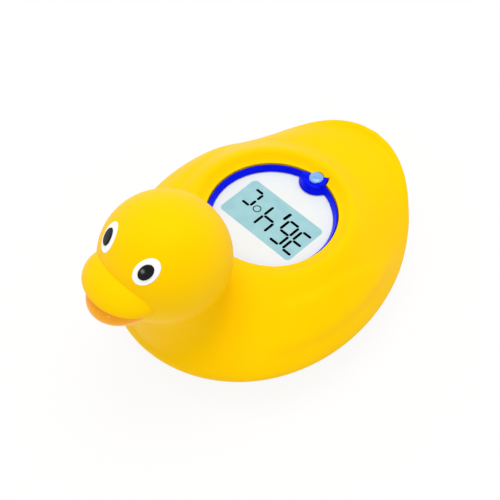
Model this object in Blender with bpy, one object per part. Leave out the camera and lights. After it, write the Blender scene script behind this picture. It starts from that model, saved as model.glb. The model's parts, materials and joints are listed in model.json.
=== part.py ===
"""Floating bath duck with a digital water thermometer in its back.

Metres, +Z up. The duck faces -Y and its left side is +X. It stands on the flat of its hull at Z = 0,
with the origin under the middle of its bounding box.
"""
import math

import bmesh
import bpy
from mathutils import Matrix, Vector

MM = 0.001
CLEARANCE = 0.3 * MM

# The display ring's centre, from which the body and the head are laid out
DISPLAY = Vector((0.0, 10.6 * MM, 33.0 * MM))

# Body, measured from the display's centre
BODY_HALF_WIDTH = 44.68 * MM
BODY_HALF_LENGTH = 55.34 * MM
BODY_CENTRE_Y = -3.24 * MM
BODY_TAPER = 0.085
WIDEST_DROP = 16.54 * MM
SHOULDER_POWER = 1.34
BOWL_POWER = 1.4
STERN_POWER = 1.287
BASE_HALF_WIDTH = 28.0 * MM
WALL = 2.2 * MM
PARTING_Z = 11.0 * MM

# Raised crease round the display well
FLARE_WIDTH = 4.6 * MM
FLARE_HEIGHT = 2.2 * MM

# Tail
TAIL_RISE = 16.76 * MM
TAIL_LIFT = -1.92 * MM
TAIL_START = 21.74 * MM
TAIL_END = 60.87 * MM
TAIL_SPREAD = 0.222
SCOOP_DEPTH = 1.5 * MM

# Wing relief on each side, between two bearings from straight across
WING_HEIGHT = 1.5 * MM
WING_FRONT = math.radians(-42.0)
WING_LENGTH = math.radians(78.0)

# Head and neck
HEAD_RADIUS = 20.4 * MM
HEAD_FORWARD = 45.8 * MM
HEAD_ABOVE = 19.5 * MM
HEAD_TURN = math.radians(-2.8)
NECK_RADIUS = 15.5 * MM
NECK_FLARE = 8.0 * MM
NECK_SETBACK = 4.0 * MM
# Height over the display and share of the flare
NECK_ROWS = ((11.5 * MM, 0.0), (3 * MM, 0.0), (-3 * MM, 0.15), (-8 * MM, 0.45), (-13 * MM, 1.0))

# Bill
BILL_TURN = math.radians(-4.5)
BILL_HALF_WIDTH = 13.8 * MM
BILL_REACH = 6.6 * MM
BILL_HEIGHT = 8.0 * MM
BILL_ROOT = 11.5 * MM
LOWER_BILL_HALF_WIDTH = 10.6 * MM
LOWER_BILL_REACH = 7.2 * MM
LOWER_BILL_HEIGHT = 5.3 * MM
LOWER_BILL_DROP = 4.4 * MM
# The mouth line rises towards the front, past its corners
MOUTH_CORNER_Y = 16.2 * MM
MOUTH_RISE = 0.14
BILL_PEG_RADIUS = 3.0 * MM
BILL_PEG_LENGTH = 3.0 * MM

# Eyes: ovals on the head, leaning out at the top
EYE_TURN = math.radians(33.0)
EYE_RAISE = math.radians(39.6)
EYE_LEAN = math.radians(39.5)
EYE_HALF_WIDTH = 3.3 * MM
EYE_HALF_HEIGHT = 4.9 * MM
EYE_SINK = 0.95 * MM
EYE_PROUD = 0.3 * MM
PUPIL_HALF_WIDTH = 1.95 * MM
PUPIL_HALF_HEIGHT = 2.8 * MM
PUPIL_SINK = 0.2 * MM
PUPIL_PROUD = 0.6 * MM

# Display: ring, panel and glass
RING_RADIUS = 21.6 * MM
RING_SINK = 0.9 * MM
RING_LAND = 0.4 * MM
RING_FLANK = 0.8 * MM
RING_DEPTH = 3.0 * MM
PANEL_THICKNESS = 1.2 * MM
PANEL_REST = 0.6 * MM
LEDGE_WIDTH = 1.2 * MM
LEDGE_THICKNESS = 2.0 * MM
WINDOW_WIDTH = 31.8 * MM
WINDOW_HEIGHT = 17.2 * MM
WINDOW_CENTRE_Y = -0.3 * MM
WINDOW_CORNER = 0.8 * MM
GLASS_BORDER = 1.1 * MM
GLASS_THICKNESS = 1.8 * MM
PANE_SINK = 0.1 * MM

# Lamp lens in the ring's lobe, and the pointed ear beside it
LENS_X = 0.1 * MM
LENS_Y = 21.1 * MM
LENS_RADIUS = 2.5 * MM
LENS_EDGE = 0.5 * MM
LENS_HEIGHT = 1.2 * MM
LAMP_X = 0.1 * MM
LAMP_Y = 19.6 * MM
LAMP_BODY_RADIUS = 1.2 * MM
LOBE_X = -0.3 * MM
LOBE_Y = 21.9 * MM
LOBE_RADIUS = 4.8 * MM
LOBE_FOOT = 6.2 * MM
LOBE_TOP = -0.3 * MM
EAR_START = (-4.8 * MM, 20.3 * MM)
EAR_TIP = (3.45 * MM, 24.1 * MM)
EAR_END = (4.3 * MM, 21.05 * MM)
EAR_HEIGHT = 0.3 * MM

# Electronics module under the display
BOARD_THICKNESS = 1.6 * MM
FRAME_HEIGHT = 3.7 * MM
FRAME_WALL = 2.2 * MM
STRIP_WIDTH = 2.0 * MM
CHIP_SIZE = 8.0 * MM
CHIP_HEIGHT = 1.4 * MM
BUZZER_RADIUS = 5.0 * MM
BUZZER_HEIGHT = 2.2 * MM
# Places of the board's screws, from the display's centre
BOARD_SCREWS = ((9.5 * MM, 13.2 * MM), (-9.5 * MM, 13.2 * MM), (0.0, -14.8 * MM))
CUP_WALL = 1.3 * MM
CUP_FLANGE_RADIUS = 27.4 * MM
CUP_FLANGE_THICKNESS = 1.8 * MM
CUP_FLOOR = 1.5 * MM
MODULE_SCREW_CIRCLE = 24.6 * MM
MODULE_BOSS_RADIUS = 2.6 * MM

# Batteries and their bay in the hull
BATTERY_RADIUS = 5.25 * MM
BATTERY_LENGTH = 44.5 * MM
BATTERY_NUB_RADIUS = 1.9 * MM
BATTERY_NUB = 0.8 * MM
BATTERY_PITCH = 11.3 * MM
SPRING_ROOM = 3.6 * MM
SPRING_RADIUS = 2.6 * MM
SPRING_WIRE = 0.25 * MM
CONTACT_THICKNESS = 0.5 * MM
BAY_WALL = 1.6 * MM
DOOR_THICKNESS = 1.8 * MM
DOOR_END = 6.0 * MM
DOOR_SIDE = 2.6 * MM
DOOR_CORNER = 3.0 * MM
DOOR_SEAL = 0.9 * MM
# Flat base past the ends of the door
BASE_MARGIN = 2.15 * MM

# Screws, by shank radius, head radius and head height
HULL_SCREW = (1.2 * MM, 2.4 * MM, 1.6 * MM)
SMALL_SCREW = (0.8 * MM, 1.6 * MM, 1.1 * MM)
SCREW_SLOT = 0.5 * MM
MODULE_SCREW_LENGTH = 5.0 * MM
BOARD_SCREW_LENGTH = 3.9 * MM
DOOR_SCREW_LENGTH = 6.0 * MM
DOOR_BOSS_RADIUS = 3.0 * MM
HULL_SCREW_X = 26.8 * MM
HULL_SCREW_SPREAD = 19.8 * MM
HULL_SCREW_LENGTH = 12.0 * MM
HULL_BOSS_RADIUS = 4.0 * MM
POST_RADIUS = 3.2 * MM

# Rim of the hull with its lip and seal
RIM_THICKNESS = 2.4 * MM
LIP_THICKNESS = 1.3 * MM
LIP_HEIGHT = 2.6 * MM
SEAL_THICKNESS = 1.3 * MM
SEAL_HEIGHT = 1.4 * MM

# Metal parts that touch the water
CONTACT_X = 20.0 * MM
CONTACT_SPREAD = 9.0 * MM
STUD_RADIUS = 1.6 * MM
STUD_HEAD_RADIUS = 2.8 * MM
STUD_HEAD = 0.8 * MM
STUD_LENGTH = 6.0 * MM
STUD_BOSS_HEIGHT = 2.6 * MM
PROBE_RADIUS = 3.2 * MM
PROBE_FLANGE_RADIUS = 4.4 * MM
PROBE_WALL = 0.6 * MM
PROBE_HEIGHT = 6.0 * MM
SENSOR_RADIUS = 1.4 * MM
SENSOR_LENGTH = 4.0 * MM

SKIN_SEGMENTS = 52
INNER_SEGMENTS = 28
ROUND_SEGMENTS = 24

HEAD = DISPLAY + Vector((0.0, -HEAD_FORWARD, HEAD_ABOVE))
WELL_RADIUS = RING_RADIUS + CLEARANCE
CREASE_RADIUS = WELL_RADIUS + FLARE_WIDTH
PANEL_TOP = -RING_DEPTH - CLEARANCE
PANEL_BOTTOM = PANEL_TOP - PANEL_THICKNESS
LEDGE_TOP = PANEL_BOTTOM - CLEARANCE
LEDGE_BOTTOM = LEDGE_TOP - LEDGE_THICKNESS
LEDGE_RADIUS = WELL_RADIUS - LEDGE_WIDTH
GLASS_TOP = LEDGE_TOP
GLASS_BOTTOM = GLASS_TOP - GLASS_THICKNESS
BOARD_TOP = GLASS_BOTTOM - FRAME_HEIGHT - 2 * CLEARANCE
BOARD_BOTTOM = BOARD_TOP - BOARD_THICKNESS
CUP_FLOOR_TOP = BOARD_BOTTOM - BUZZER_HEIGHT - 2 * CLEARANCE
CUP_INNER_RADIUS = LEDGE_RADIUS - CLEARANCE
BOARD_RADIUS = CUP_INNER_RADIUS - CLEARANCE
DOOR_BOTTOM = CLEARANCE
DOOR_TOP = DOOR_BOTTOM + DOOR_THICKNESS
BAY_FLOOR = DOOR_TOP + DOOR_SEAL + 2 * CLEARANCE
BATTERY_Z = BAY_FLOOR + BATTERY_RADIUS
BAY_HALF_WIDTH = BATTERY_PITCH / 2 + BATTERY_RADIUS + 2 * CLEARANCE
BAY_HALF_LENGTH = BATTERY_LENGTH / 2 + SPRING_ROOM
BAY_CENTRE_Y = DISPLAY.y + BODY_CENTRE_Y
BASE_HALF_LENGTH = BAY_HALF_LENGTH + DOOR_END + BASE_MARGIN
BAY_TOP = BATTERY_Z + BATTERY_RADIUS + CLEARANCE


def smooth(value):
    """Ease from 0 to 1."""
    value = min(max(value, 0.0), 1.0)
    return value * value * (3 - 2 * value)


def clear_scene():
    for thing in list(bpy.data.objects):
        bpy.data.objects.remove(thing, do_unlink=True)


def make_material(name, colour, roughness, metallic=0.0):
    material = bpy.data.materials.new(name)
    material.use_nodes = True
    shader = material.node_tree.nodes["Principled BSDF"]
    shader.inputs["Base Color"].default_value = (*colour, 1.0)
    shader.inputs["Roughness"].default_value = roughness
    shader.inputs["Metallic"].default_value = metallic
    material.diffuse_color = (*colour, 1.0)
    return material


def object_from_bmesh(bm, name):
    bmesh.ops.recalc_face_normals(bm, faces=bm.faces)
    mesh = bpy.data.meshes.new(name)
    bm.to_mesh(mesh)
    bm.free()
    thing = bpy.data.objects.new(name, mesh)
    bpy.context.collection.objects.link(thing)
    return thing


def finish(thing, material, sharp=30.0):
    """Give a piece its material and smooth shading with sharp edges kept."""
    mesh = thing.data
    mesh.materials.clear()
    mesh.materials.append(material)
    mesh.shade_smooth()
    mesh.set_sharp_from_angle(angle=math.radians(sharp))
    return thing


def weld(mesh):
    """Merge points closer than a hundredth of the clearance and drop the slivers that leaves."""
    bm = bmesh.new()
    bm.from_mesh(mesh)
    bmesh.ops.remove_doubles(bm, verts=bm.verts, dist=CLEARANCE / 100)
    bmesh.ops.dissolve_degenerate(bm, dist=CLEARANCE / 100, edges=bm.edges)
    bm.to_mesh(mesh)
    bm.free()
    return mesh


def boolean(target, operation, *tools):
    """Apply one Boolean after another to the target and delete the tools."""
    for tool in tools:
        modifier = target.modifiers.new("cut", "BOOLEAN")
        modifier.operation = operation
        modifier.solver = "EXACT"
        modifier.object = tool
        graph = bpy.context.evaluated_depsgraph_get()
        mesh = bpy.data.meshes.new_from_object(target.evaluated_get(graph))
        target.modifiers.clear()
        target.data = weld(mesh)
        bpy.data.objects.remove(tool, do_unlink=True)
    return target


def cut(target, *tools):
    return boolean(target, "DIFFERENCE", *tools)


def join(target, *tools):
    return boolean(target, "UNION", *tools)


def keep_common(target, *tools):
    return boolean(target, "INTERSECT", *tools)


def stack_loops(loops, name="solid"):
    """Closed solid through a stack of loops that have equal numbers of points."""
    bm = bmesh.new()
    rings = [[bm.verts.new(point) for point in loop] for loop in loops]
    for lower, upper in zip(rings, rings[1:]):
        count = len(lower)
        for i in range(count):
            j = (i + 1) % count
            bm.faces.new((lower[i], lower[j], upper[j], upper[i]))
    bm.faces.new(rings[0])
    bm.faces.new(rings[-1])
    return object_from_bmesh(bm, name)


def turned(profile, centre, name="turned", segments=ROUND_SEGMENTS):
    """Solid of revolution about the vertical through the centre.

    The profile is a list of (radius, height); where it starts or ends off the axis it is closed as a ring.
    """
    bm = bmesh.new()
    closed = profile[0][0] > 0 or profile[-1][0] > 0
    rings = []
    for radius, height in profile:
        if radius <= 0:
            rings.append([bm.verts.new(centre + Vector((0, 0, height)))])
            continue
        ring = []
        for i in range(segments):
            angle = 2 * math.pi * i / segments
            offset = Vector((radius * math.cos(angle), radius * math.sin(angle), height))
            ring.append(bm.verts.new(centre + offset))
        rings.append(ring)
    pairs = list(zip(rings, rings[1:]))
    if closed:
        pairs.append((rings[-1], rings[0]))
    for lower, upper in pairs:
        for i in range(segments):
            j = (i + 1) % segments
            if len(lower) == 1:
                bm.faces.new((lower[0], upper[j], upper[i]))
            elif len(upper) == 1:
                bm.faces.new((lower[i], lower[j], upper[0]))
            else:
                bm.faces.new((lower[i], lower[j], upper[j], upper[i]))
    return object_from_bmesh(bm, name)


def cylinder(radius, bottom, top, centre, name="cylinder", segments=ROUND_SEGMENTS):
    return turned([(0, bottom), (radius, bottom), (radius, top), (0, top)], centre, name, segments)


def slab(outline, bottom, top, name="slab"):
    """Upright prism over a plan outline."""
    loops = [[(x, y, level) for x, y in outline] for level in (bottom, top)]
    return stack_loops(loops, name)


def rounded_rectangle(width, length, corner, centre=(0.0, 0.0), steps=3):
    points = []
    for quarter in range(4):
        sign_x = 1 if quarter in (0, 3) else -1
        sign_y = 1 if quarter in (0, 1) else -1
        for step in range(steps + 1):
            angle = math.pi / 2 * (quarter + step / steps)
            points.append((centre[0] + sign_x * (width / 2 - corner) + corner * math.cos(angle),
                           centre[1] + sign_y * (length / 2 - corner) + corner * math.sin(angle)))
    return points


def box(low, high, name="box"):
    outline = [(low[0], low[1]), (high[0], low[1]), (high[0], high[1]), (low[0], high[1])]
    return slab(outline, low[2], high[2], name)


def ball(radius, centre, name="ball", segments=40, rings=20, scale=(1.0, 1.0, 1.0)):
    bm = bmesh.new()
    bmesh.ops.create_uvsphere(bm, u_segments=segments, v_segments=rings, radius=radius)
    bmesh.ops.scale(bm, vec=scale, verts=bm.verts)
    bmesh.ops.translate(bm, vec=centre, verts=bm.verts)
    return object_from_bmesh(bm, name)


def slice_off(thing, point, normal):
    """Remove what lies on the normal's side of a plane and close the cut."""
    bm = bmesh.new()
    bm.from_mesh(thing.data)
    parts = bm.verts[:] + bm.edges[:] + bm.faces[:]
    bmesh.ops.bisect_plane(bm, geom=parts, plane_co=point, plane_no=normal, clear_outer=True)
    rim = [edge for edge in bm.edges if edge.is_boundary]
    bmesh.ops.contextual_create(bm, geom=rim)
    bmesh.ops.recalc_face_normals(bm, faces=bm.faces)
    bm.to_mesh(thing.data)
    bm.free()
    return thing


def tail_share(angle):
    """How much of the tail's form a bearing takes, from 0 at the sides to 1 at the stern."""
    return smooth((math.sin(angle) - TAIL_SPREAD) / (1 - TAIL_SPREAD))


def widest_point(angle, inset):
    """Where the body is widest at one bearing, measured from the display's centre."""
    y = BODY_CENTRE_Y + (BODY_HALF_LENGTH - inset) * math.sin(angle)
    x = (BODY_HALF_WIDTH - inset) * math.cos(angle) * (1 - BODY_TAPER * math.sin(angle))
    rise = TAIL_RISE * smooth((y - TAIL_START) / (TAIL_END - TAIL_START))
    return Vector((x, y, -WIDEST_DROP + rise))


def wing_bulge(share, angle):
    """Height of the raised wing over the plain flank: a teardrop that points to the tail."""
    bearing = math.atan2(math.sin(angle), abs(math.cos(angle)))
    along = (bearing - WING_FRONT) / WING_LENGTH
    if not 0 < along < 1:
        return 0.0
    thin = smooth((along - 0.45) / 0.55)
    middle = 0.49 + 0.17 * thin
    half = 0.17 - 0.135 * thin
    softness = 0.05 if share > middle else 0.12
    blunt = smooth(along / 0.12) * smooth((1 - along) / 0.3)
    return WING_HEIGHT * blunt * smooth((half - abs(share - middle)) / softness + 0.5)


def back_point(share, angle, inset):
    """Skin above the widest line: share 0 is the crease round the well, share 1 the widest line."""
    turn = share * math.pi / 2
    across = math.sin(turn) ** (2 / SHOULDER_POWER)
    height = math.cos(turn) ** (2 / SHOULDER_POWER) if share < 1 else 0.0
    crease = Vector((CREASE_RADIUS * math.cos(angle), CREASE_RADIUS * math.sin(angle), FLARE_HEIGHT - inset))
    wide = widest_point(angle, inset)
    crest = 0.5
    if share < crest:
        lift = smooth(share / crest)
    else:
        lift = max(math.cos((share - crest) / (1 - crest) * math.pi / 2), 0.0) ** 0.8
    tail = tail_share(angle)
    scoop = SCOOP_DEPTH * tail ** 3 * math.sin(math.pi * min(share / crest, 1.0)) ** 2
    z = wide.z + (crease.z - wide.z) * height + TAIL_LIFT * tail * lift - scoop
    x = crease.x + (wide.x - crease.x) * across
    y = crease.y + (wide.y - crease.y) * across
    bulge = wing_bulge(share, angle) if inset == 0 else 0.0
    outward = Vector((math.cos(angle) * across, math.sin(angle) * across, height))
    return DISPLAY + Vector((x, y, z)) + bulge * outward.normalized()


def bowl_point(share, angle, inset):
    """Skin below the widest line: share 0 is the widest line, share 1 the flat base's edge."""
    turn = share * math.pi / 2
    power = BOWL_POWER + (STERN_POWER - BOWL_POWER) * tail_share(angle)
    out = math.cos(turn) ** (2 / power) if share < 1 else 0.0
    down = math.sin(turn) ** (2 / power)
    wide = DISPLAY + widest_point(angle, inset)
    base = Vector(((BASE_HALF_WIDTH - inset / 2) * math.cos(angle),
                   DISPLAY.y + BODY_CENTRE_Y + (BASE_HALF_LENGTH - inset / 2) * math.sin(angle), inset))
    return Vector((base.x + (wide.x - base.x) * out, base.y + (wide.y - base.y) * out,
                   wide.z + (base.z - wide.z) * down))


def body_solid(inset, segments, name):
    """Whole body with its flat base, from the display level down, set in from the skin by the inset."""
    angles = [2 * math.pi * i / segments for i in range(segments)]
    loops = []
    for step in range(4):
        share = step / 4
        radius = WELL_RADIUS + 0.4 * MM + (CREASE_RADIUS - WELL_RADIUS - 0.4 * MM) * share
        height = DISPLAY.z - inset + FLARE_HEIGHT * smooth(share)
        loops.append([(radius * math.cos(a), DISPLAY.y + radius * math.sin(a), height) for a in angles])
    loops += [[back_point(step / 10, a, inset) for a in angles] for step in range(11)]
    loops += [[bowl_point(step / 5, a, inset) for a in angles] for step in range(1, 6)]
    return stack_loops(loops, name)


def level_outline(z, inset, depth=0.0, segments=INNER_SEGMENTS):
    """Plan outline of the body at one height, set in by the inset from the surface at a depth."""
    points = []
    for i in range(segments):
        angle = 2 * math.pi * i / segments
        low, high = 0.0, 1.0
        for _ in range(30):
            middle = (low + high) / 2
            if bowl_point(middle, angle, depth).z > z:
                low = middle
            else:
                high = middle
        points.append(bowl_point(low, angle, depth))
    outline = []
    for i, point in enumerate(points):
        along = points[(i + 1) % segments] - points[i - 1]
        outward = Vector((along.y, -along.x, 0)).normalized()
        outline.append((point.x - inset * outward.x, point.y - inset * outward.y))
    return outline


def neck_solid(inset, segments, name):
    loops = []
    for height, share in NECK_ROWS:
        radius = NECK_RADIUS + NECK_FLARE * share - inset
        centre_y = HEAD.y + NECK_SETBACK + NECK_FLARE * share
        loops.append([(radius * math.cos(2 * math.pi * i / segments),
                       centre_y + radius * math.sin(2 * math.pi * i / segments),
                       DISPLAY.z + height) for i in range(segments)])
    return stack_loops(loops, name)


def turn_with_bill(thing):
    """Swing a piece about the upright through the head's centre."""
    swing = Matrix.Translation(HEAD) @ Matrix.Rotation(BILL_TURN, 4, "Z") @ Matrix.Translation(-HEAD)
    thing.data.transform(swing)
    return thing


def bill_dome(half_width, reach, height, drop, name, segments=32, rings=14):
    """Ellipsoid of one half of the bill, centred in the head's front at a drop under its centre."""
    root = HEAD_RADIUS + reach - BILL_ROOT
    centre = HEAD + Vector((0, -root, -drop))
    scale = (half_width, BILL_ROOT, height)
    return ball(1.0, centre, name, segments, rings, scale)


def slice_at_mouth(dome, offset, keep_above):
    """Cut a half of the bill along the mouth line, raised by the offset, and swing it into place."""
    normal = Vector((0, MOUTH_RISE, 1)).normalized()
    point = HEAD + Vector((0, -MOUTH_CORNER_Y, offset))
    slice_off(dome, point, -normal if keep_above else normal)
    return turn_with_bill(dome)


def eye_frame(side):
    """Axes of an eye: across it, up it and out of the head, for side +1 (left) or -1 (right)."""
    out = Vector((side * math.sin(EYE_TURN) * math.cos(EYE_RAISE),
                  -math.cos(EYE_TURN) * math.cos(EYE_RAISE), math.sin(EYE_RAISE)))
    out.rotate(Matrix.Rotation(HEAD_TURN, 3, "Z"))
    level = Vector((0, 0, 1)).cross(out).normalized()
    upright = out.cross(level)
    lean = -side * EYE_LEAN
    across = level * math.cos(lean) + upright * math.sin(lean)
    up = upright * math.cos(lean) - level * math.sin(lean)
    return across, up, out


def oval_plug(side, half_width, half_height, bottom, top, name, segments=28):
    """Oval column along an eye's axis, between two distances from the head's centre."""
    across, up, out = eye_frame(side)
    loops = []
    for distance in (bottom, top):
        loop = []
        for i in range(segments):
            angle = 2 * math.pi * i / segments
            loop.append(HEAD + out * distance + across * (half_width * math.cos(angle))
                        + up * (half_height * math.sin(angle)))
        loops.append(loop)
    return stack_loops(loops, name)


def ear_outline(grow):
    """Plan of the ring's pointed ear, widened by a clearance, from inside the ring outwards."""
    inside = RING_RADIUS - 2 * MM
    points = [EAR_START, EAR_TIP, EAR_END]
    middle = Vector((sum(p[0] for p in points) / 3, sum(p[1] for p in points) / 3))
    outline = []
    for x, y in points:
        away = Vector((x, y)) - middle
        away = away.normalized() * (away.length + grow * 1.6)
        outline.append((middle.x + away.x, DISPLAY.y + middle.y + away.y))
    for x, y in (EAR_END, EAR_START):
        radial = Vector((x, y)).normalized() * inside
        outline.append((radial.x, DISPLAY.y + radial.y))
    return outline


def hull_screw_places():
    middle = DISPLAY.y + BODY_CENTRE_Y
    return [(side * HULL_SCREW_X, middle + end * HULL_SCREW_SPREAD) for side in (1, -1) for end in (1, -1)]


def module_screw_places():
    angles = [math.radians(degrees) for degrees in (30, 150, 270)]
    return [(MODULE_SCREW_CIRCLE * math.cos(a), DISPLAY.y + MODULE_SCREW_CIRCLE * math.sin(a)) for a in angles]


def board_screw_places():
    return [(x, DISPLAY.y + y) for x, y in BOARD_SCREWS]


def upper_shell(material):
    """Head, neck, back, wings and tail in one moulding, open below, with the display well."""
    shell = body_solid(0.0, SKIN_SEGMENTS, "upper_shell")
    rim = PARTING_Z + CLEARANCE / 2
    slice_off(shell, Vector((0, 0, rim)), Vector((0, 0, -1)))
    join(shell, neck_solid(0.0, 28, "neck"), ball(HEAD_RADIUS, HEAD, "head", 36, 18))
    bill = bill_dome(BILL_HALF_WIDTH, BILL_REACH, BILL_HEIGHT, 0.0, "bill")
    join(shell, slice_at_mouth(bill, CLEARANCE / 2, True))

    cavity = body_solid(WALL, INNER_SEGMENTS, "cavity")
    join(cavity, neck_solid(WALL, 16, "neck_bore"), ball(HEAD_RADIUS - WALL, HEAD, "head_bore", 18, 9))
    cut(shell, cavity)

    body = body_solid(WALL / 2, INNER_SEGMENTS, "mid_wall")
    posts = []
    for x, y in hull_screw_places():
        posts.append(cylinder(POST_RADIUS, rim, DISPLAY.z + 5 * MM, Vector((x, y, 0)), "post", 10))
    for x, y in module_screw_places():
        posts.append(cylinder(MODULE_BOSS_RADIUS, DISPLAY.z + LEDGE_BOTTOM, DISPLAY.z + 5 * MM,
                              Vector((x, y, 0)), "boss", 10))
    well = cylinder(WELL_RADIUS + WALL, LEDGE_BOTTOM, 5 * MM, DISPLAY, "well", 40)
    join(well, *posts)
    keep_common(well, body)
    join(shell, well)

    cut(shell, cylinder(WELL_RADIUS, LEDGE_TOP, 20 * MM, DISPLAY, "ring_seat", 48))
    cut(shell, cylinder(LEDGE_RADIUS, LEDGE_BOTTOM - 5 * MM, 0, DISPLAY, "well_bore", 32))
    low, high = DISPLAY.z - RING_DEPTH - CLEARANCE, DISPLAY.z + 12 * MM
    cut(shell, slab(ear_outline(CLEARANCE), low, high, "ear_seat"))
    cut(shell, lens_seat())

    for x, y in hull_screw_places():
        cut(shell, cylinder(HULL_SCREW[0] + CLEARANCE, 0, PARTING_Z + HULL_SCREW_LENGTH, Vector((x, y, 0)),
                            "pilot", 8))
    for x, y in module_screw_places():
        cut(shell, cylinder(SMALL_SCREW[0] + CLEARANCE, LEDGE_BOTTOM - 5 * MM, LEDGE_BOTTOM + 3.5 * MM,
                            Vector((x, y, DISPLAY.z)), "pilot", 8))
    for side in (1, -1):
        cut(shell, oval_plug(side, EYE_HALF_WIDTH + CLEARANCE, EYE_HALF_HEIGHT + CLEARANCE,
                             HEAD_RADIUS - EYE_SINK - CLEARANCE, HEAD_RADIUS + 4 * MM, "eye_seat"))
    cut(shell, bill_peg(CLEARANCE))
    return finish(shell, material)


def bill_peg(grow):
    """Peg of the lower bill that enters the head, running level towards the back."""
    segments = 24
    radius = BILL_PEG_RADIUS + grow
    start = HEAD.y - HEAD_RADIUS - 1.0 * MM
    end = HEAD.y - HEAD_RADIUS + BILL_PEG_LENGTH + grow
    loops = []
    for y in (start, end):
        loops.append([(radius * math.cos(2 * math.pi * i / segments), y,
                       HEAD.z - LOWER_BILL_DROP + radius * math.sin(2 * math.pi * i / segments))
                      for i in range(segments)])
    return turn_with_bill(stack_loops(loops, "peg"))


def lower_bill(material):
    bill = bill_dome(LOWER_BILL_HALF_WIDTH, LOWER_BILL_REACH, LOWER_BILL_HEIGHT, LOWER_BILL_DROP,
                     "lower_bill")
    slice_at_mouth(bill, -CLEARANCE / 2, False)
    cut(bill, ball(HEAD_RADIUS + CLEARANCE, HEAD, "head_clear", 40, 20))
    join(bill, bill_peg(0.0))
    return finish(bill, material)


def eyes(white, black):
    for side, label in ((1, "left"), (-1, "right")):
        eye = oval_plug(side, EYE_HALF_WIDTH, EYE_HALF_HEIGHT, HEAD_RADIUS - EYE_SINK, HEAD_RADIUS + 4 * MM,
                        "eye_" + label)
        keep_common(eye, ball(HEAD_RADIUS + EYE_PROUD, HEAD, "eye_face", 40, 20))
        cut(eye, oval_plug(side, PUPIL_HALF_WIDTH + CLEARANCE, PUPIL_HALF_HEIGHT + CLEARANCE,
                           HEAD_RADIUS - PUPIL_SINK - CLEARANCE, HEAD_RADIUS + 4 * MM, "pupil_seat"))
        finish(eye, white)
        pupil = oval_plug(side, PUPIL_HALF_WIDTH, PUPIL_HALF_HEIGHT, HEAD_RADIUS - PUPIL_SINK,
                          HEAD_RADIUS + 4 * MM, "pupil_" + label)
        keep_common(pupil, ball(HEAD_RADIUS + PUPIL_PROUD, HEAD, "pupil_face", 40, 20))
        finish(pupil, black)


def display_bezel(material):
    """Ring with a narrow land, a sloping flank, the lamp's lobe and the pointed ear."""
    spare = 2 * MM
    flank_top = RING_RADIUS - RING_LAND
    foot = flank_top - RING_FLANK
    slope = RING_FLANK / (RING_DEPTH - RING_SINK)
    bezel = turned([(foot - spare * slope, -RING_DEPTH - spare), (RING_RADIUS + spare, -RING_DEPTH - spare),
                    (RING_RADIUS + spare, -RING_SINK), (flank_top, -RING_SINK)], DISPLAY, "display_bezel", 64)
    deep = RING_DEPTH + 2 * spare
    slope = (LOBE_FOOT - LOBE_RADIUS) / (RING_DEPTH + LOBE_TOP)
    join(bezel, turned([(0, -deep), (LOBE_RADIUS + slope * (deep + LOBE_TOP), -deep), (LOBE_RADIUS, LOBE_TOP),
                        (0, LOBE_TOP)], DISPLAY + Vector((LOBE_X, LOBE_Y, 0)), "lobe", 28))
    keep_common(bezel, cylinder(RING_RADIUS, -RING_DEPTH, RING_DEPTH, DISPLAY, "ring_edge", 64))
    join(bezel, slab(ear_outline(0.0), DISPLAY.z - RING_DEPTH + 0.2 * MM, DISPLAY.z + EAR_HEIGHT, "ear"))
    cut(bezel, lens_seat())
    cut(bezel, cylinder(LAMP_BODY_RADIUS + CLEARANCE, -2 * RING_DEPTH, RING_DEPTH, lamp_place(),
                        "lamp_bore", 16))
    return finish(bezel, material)


def lamp_place():
    return DISPLAY + Vector((LAMP_X, LAMP_Y, 0))


def lens_place():
    """Middle of the lens's underside, a clearance above its seat in the lobe."""
    return DISPLAY + Vector((LENS_X, LENS_Y, LOBE_TOP + CLEARANCE / 2))


def lens_seat():
    return cylinder(LENS_RADIUS + CLEARANCE, -CLEARANCE, 12 * MM, lens_place(), "lens_seat", 20)


def lamp(lens_material, body_material):
    """Low faceted lens on the lobe, and the lamp in the bore below it with its two leads."""
    steps = 3
    dome = [(0, 0), (LENS_RADIUS, 0)]
    for step in range(steps):
        angle = math.pi / 2 * step / steps
        dome.append((LENS_RADIUS * math.cos(angle), LENS_EDGE + (LENS_HEIGHT - LENS_EDGE) * math.sin(angle)))
    dome.append((0, LENS_HEIGHT))
    finish(turned(dome, lens_place(), "lamp_lens", 16), lens_material, 5)

    place = lamp_place()
    top = LOBE_TOP - 2 * CLEARANCE
    body = turned([(0, PANEL_TOP), (LAMP_BODY_RADIUS, PANEL_TOP), (LAMP_BODY_RADIUS, top), (0, top)],
                  place, "lamp_body", 20)
    lead = 0.25 * MM
    for side in (1, -1):
        x = place.x + side * 0.6 * MM
        y = place.y - 0.5 * MM
        join(body, box((x - lead, y - lead, DISPLAY.z + BOARD_TOP + CLEARANCE), (x + lead, y + lead,
                       DISPLAY.z + PANEL_TOP + 0.5 * MM), "lead"))
    finish(body, body_material)


def window_outline(grow):
    return rounded_rectangle(WINDOW_WIDTH + 2 * grow, WINDOW_HEIGHT + 2 * grow, WINDOW_CORNER + max(grow, 0),
                             (0.0, DISPLAY.y + WINDOW_CENTRE_Y))


def display_panel(material):
    panel = cylinder(WELL_RADIUS - PANEL_REST, PANEL_BOTTOM, PANEL_TOP, DISPLAY, "display_panel", 40)
    low, high = DISPLAY.z + PANEL_BOTTOM, DISPLAY.z + PANEL_TOP
    cut(panel, slab(window_outline(0.0), low - 1 * MM, high + 1 * MM, "window"))
    cut(panel, cylinder(LAMP_BODY_RADIUS + CLEARANCE, PANEL_BOTTOM - 1 * MM, PANEL_TOP + 1 * MM, lamp_place(),
                        "lamp_notch", 24))
    return finish(panel, material)


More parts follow.
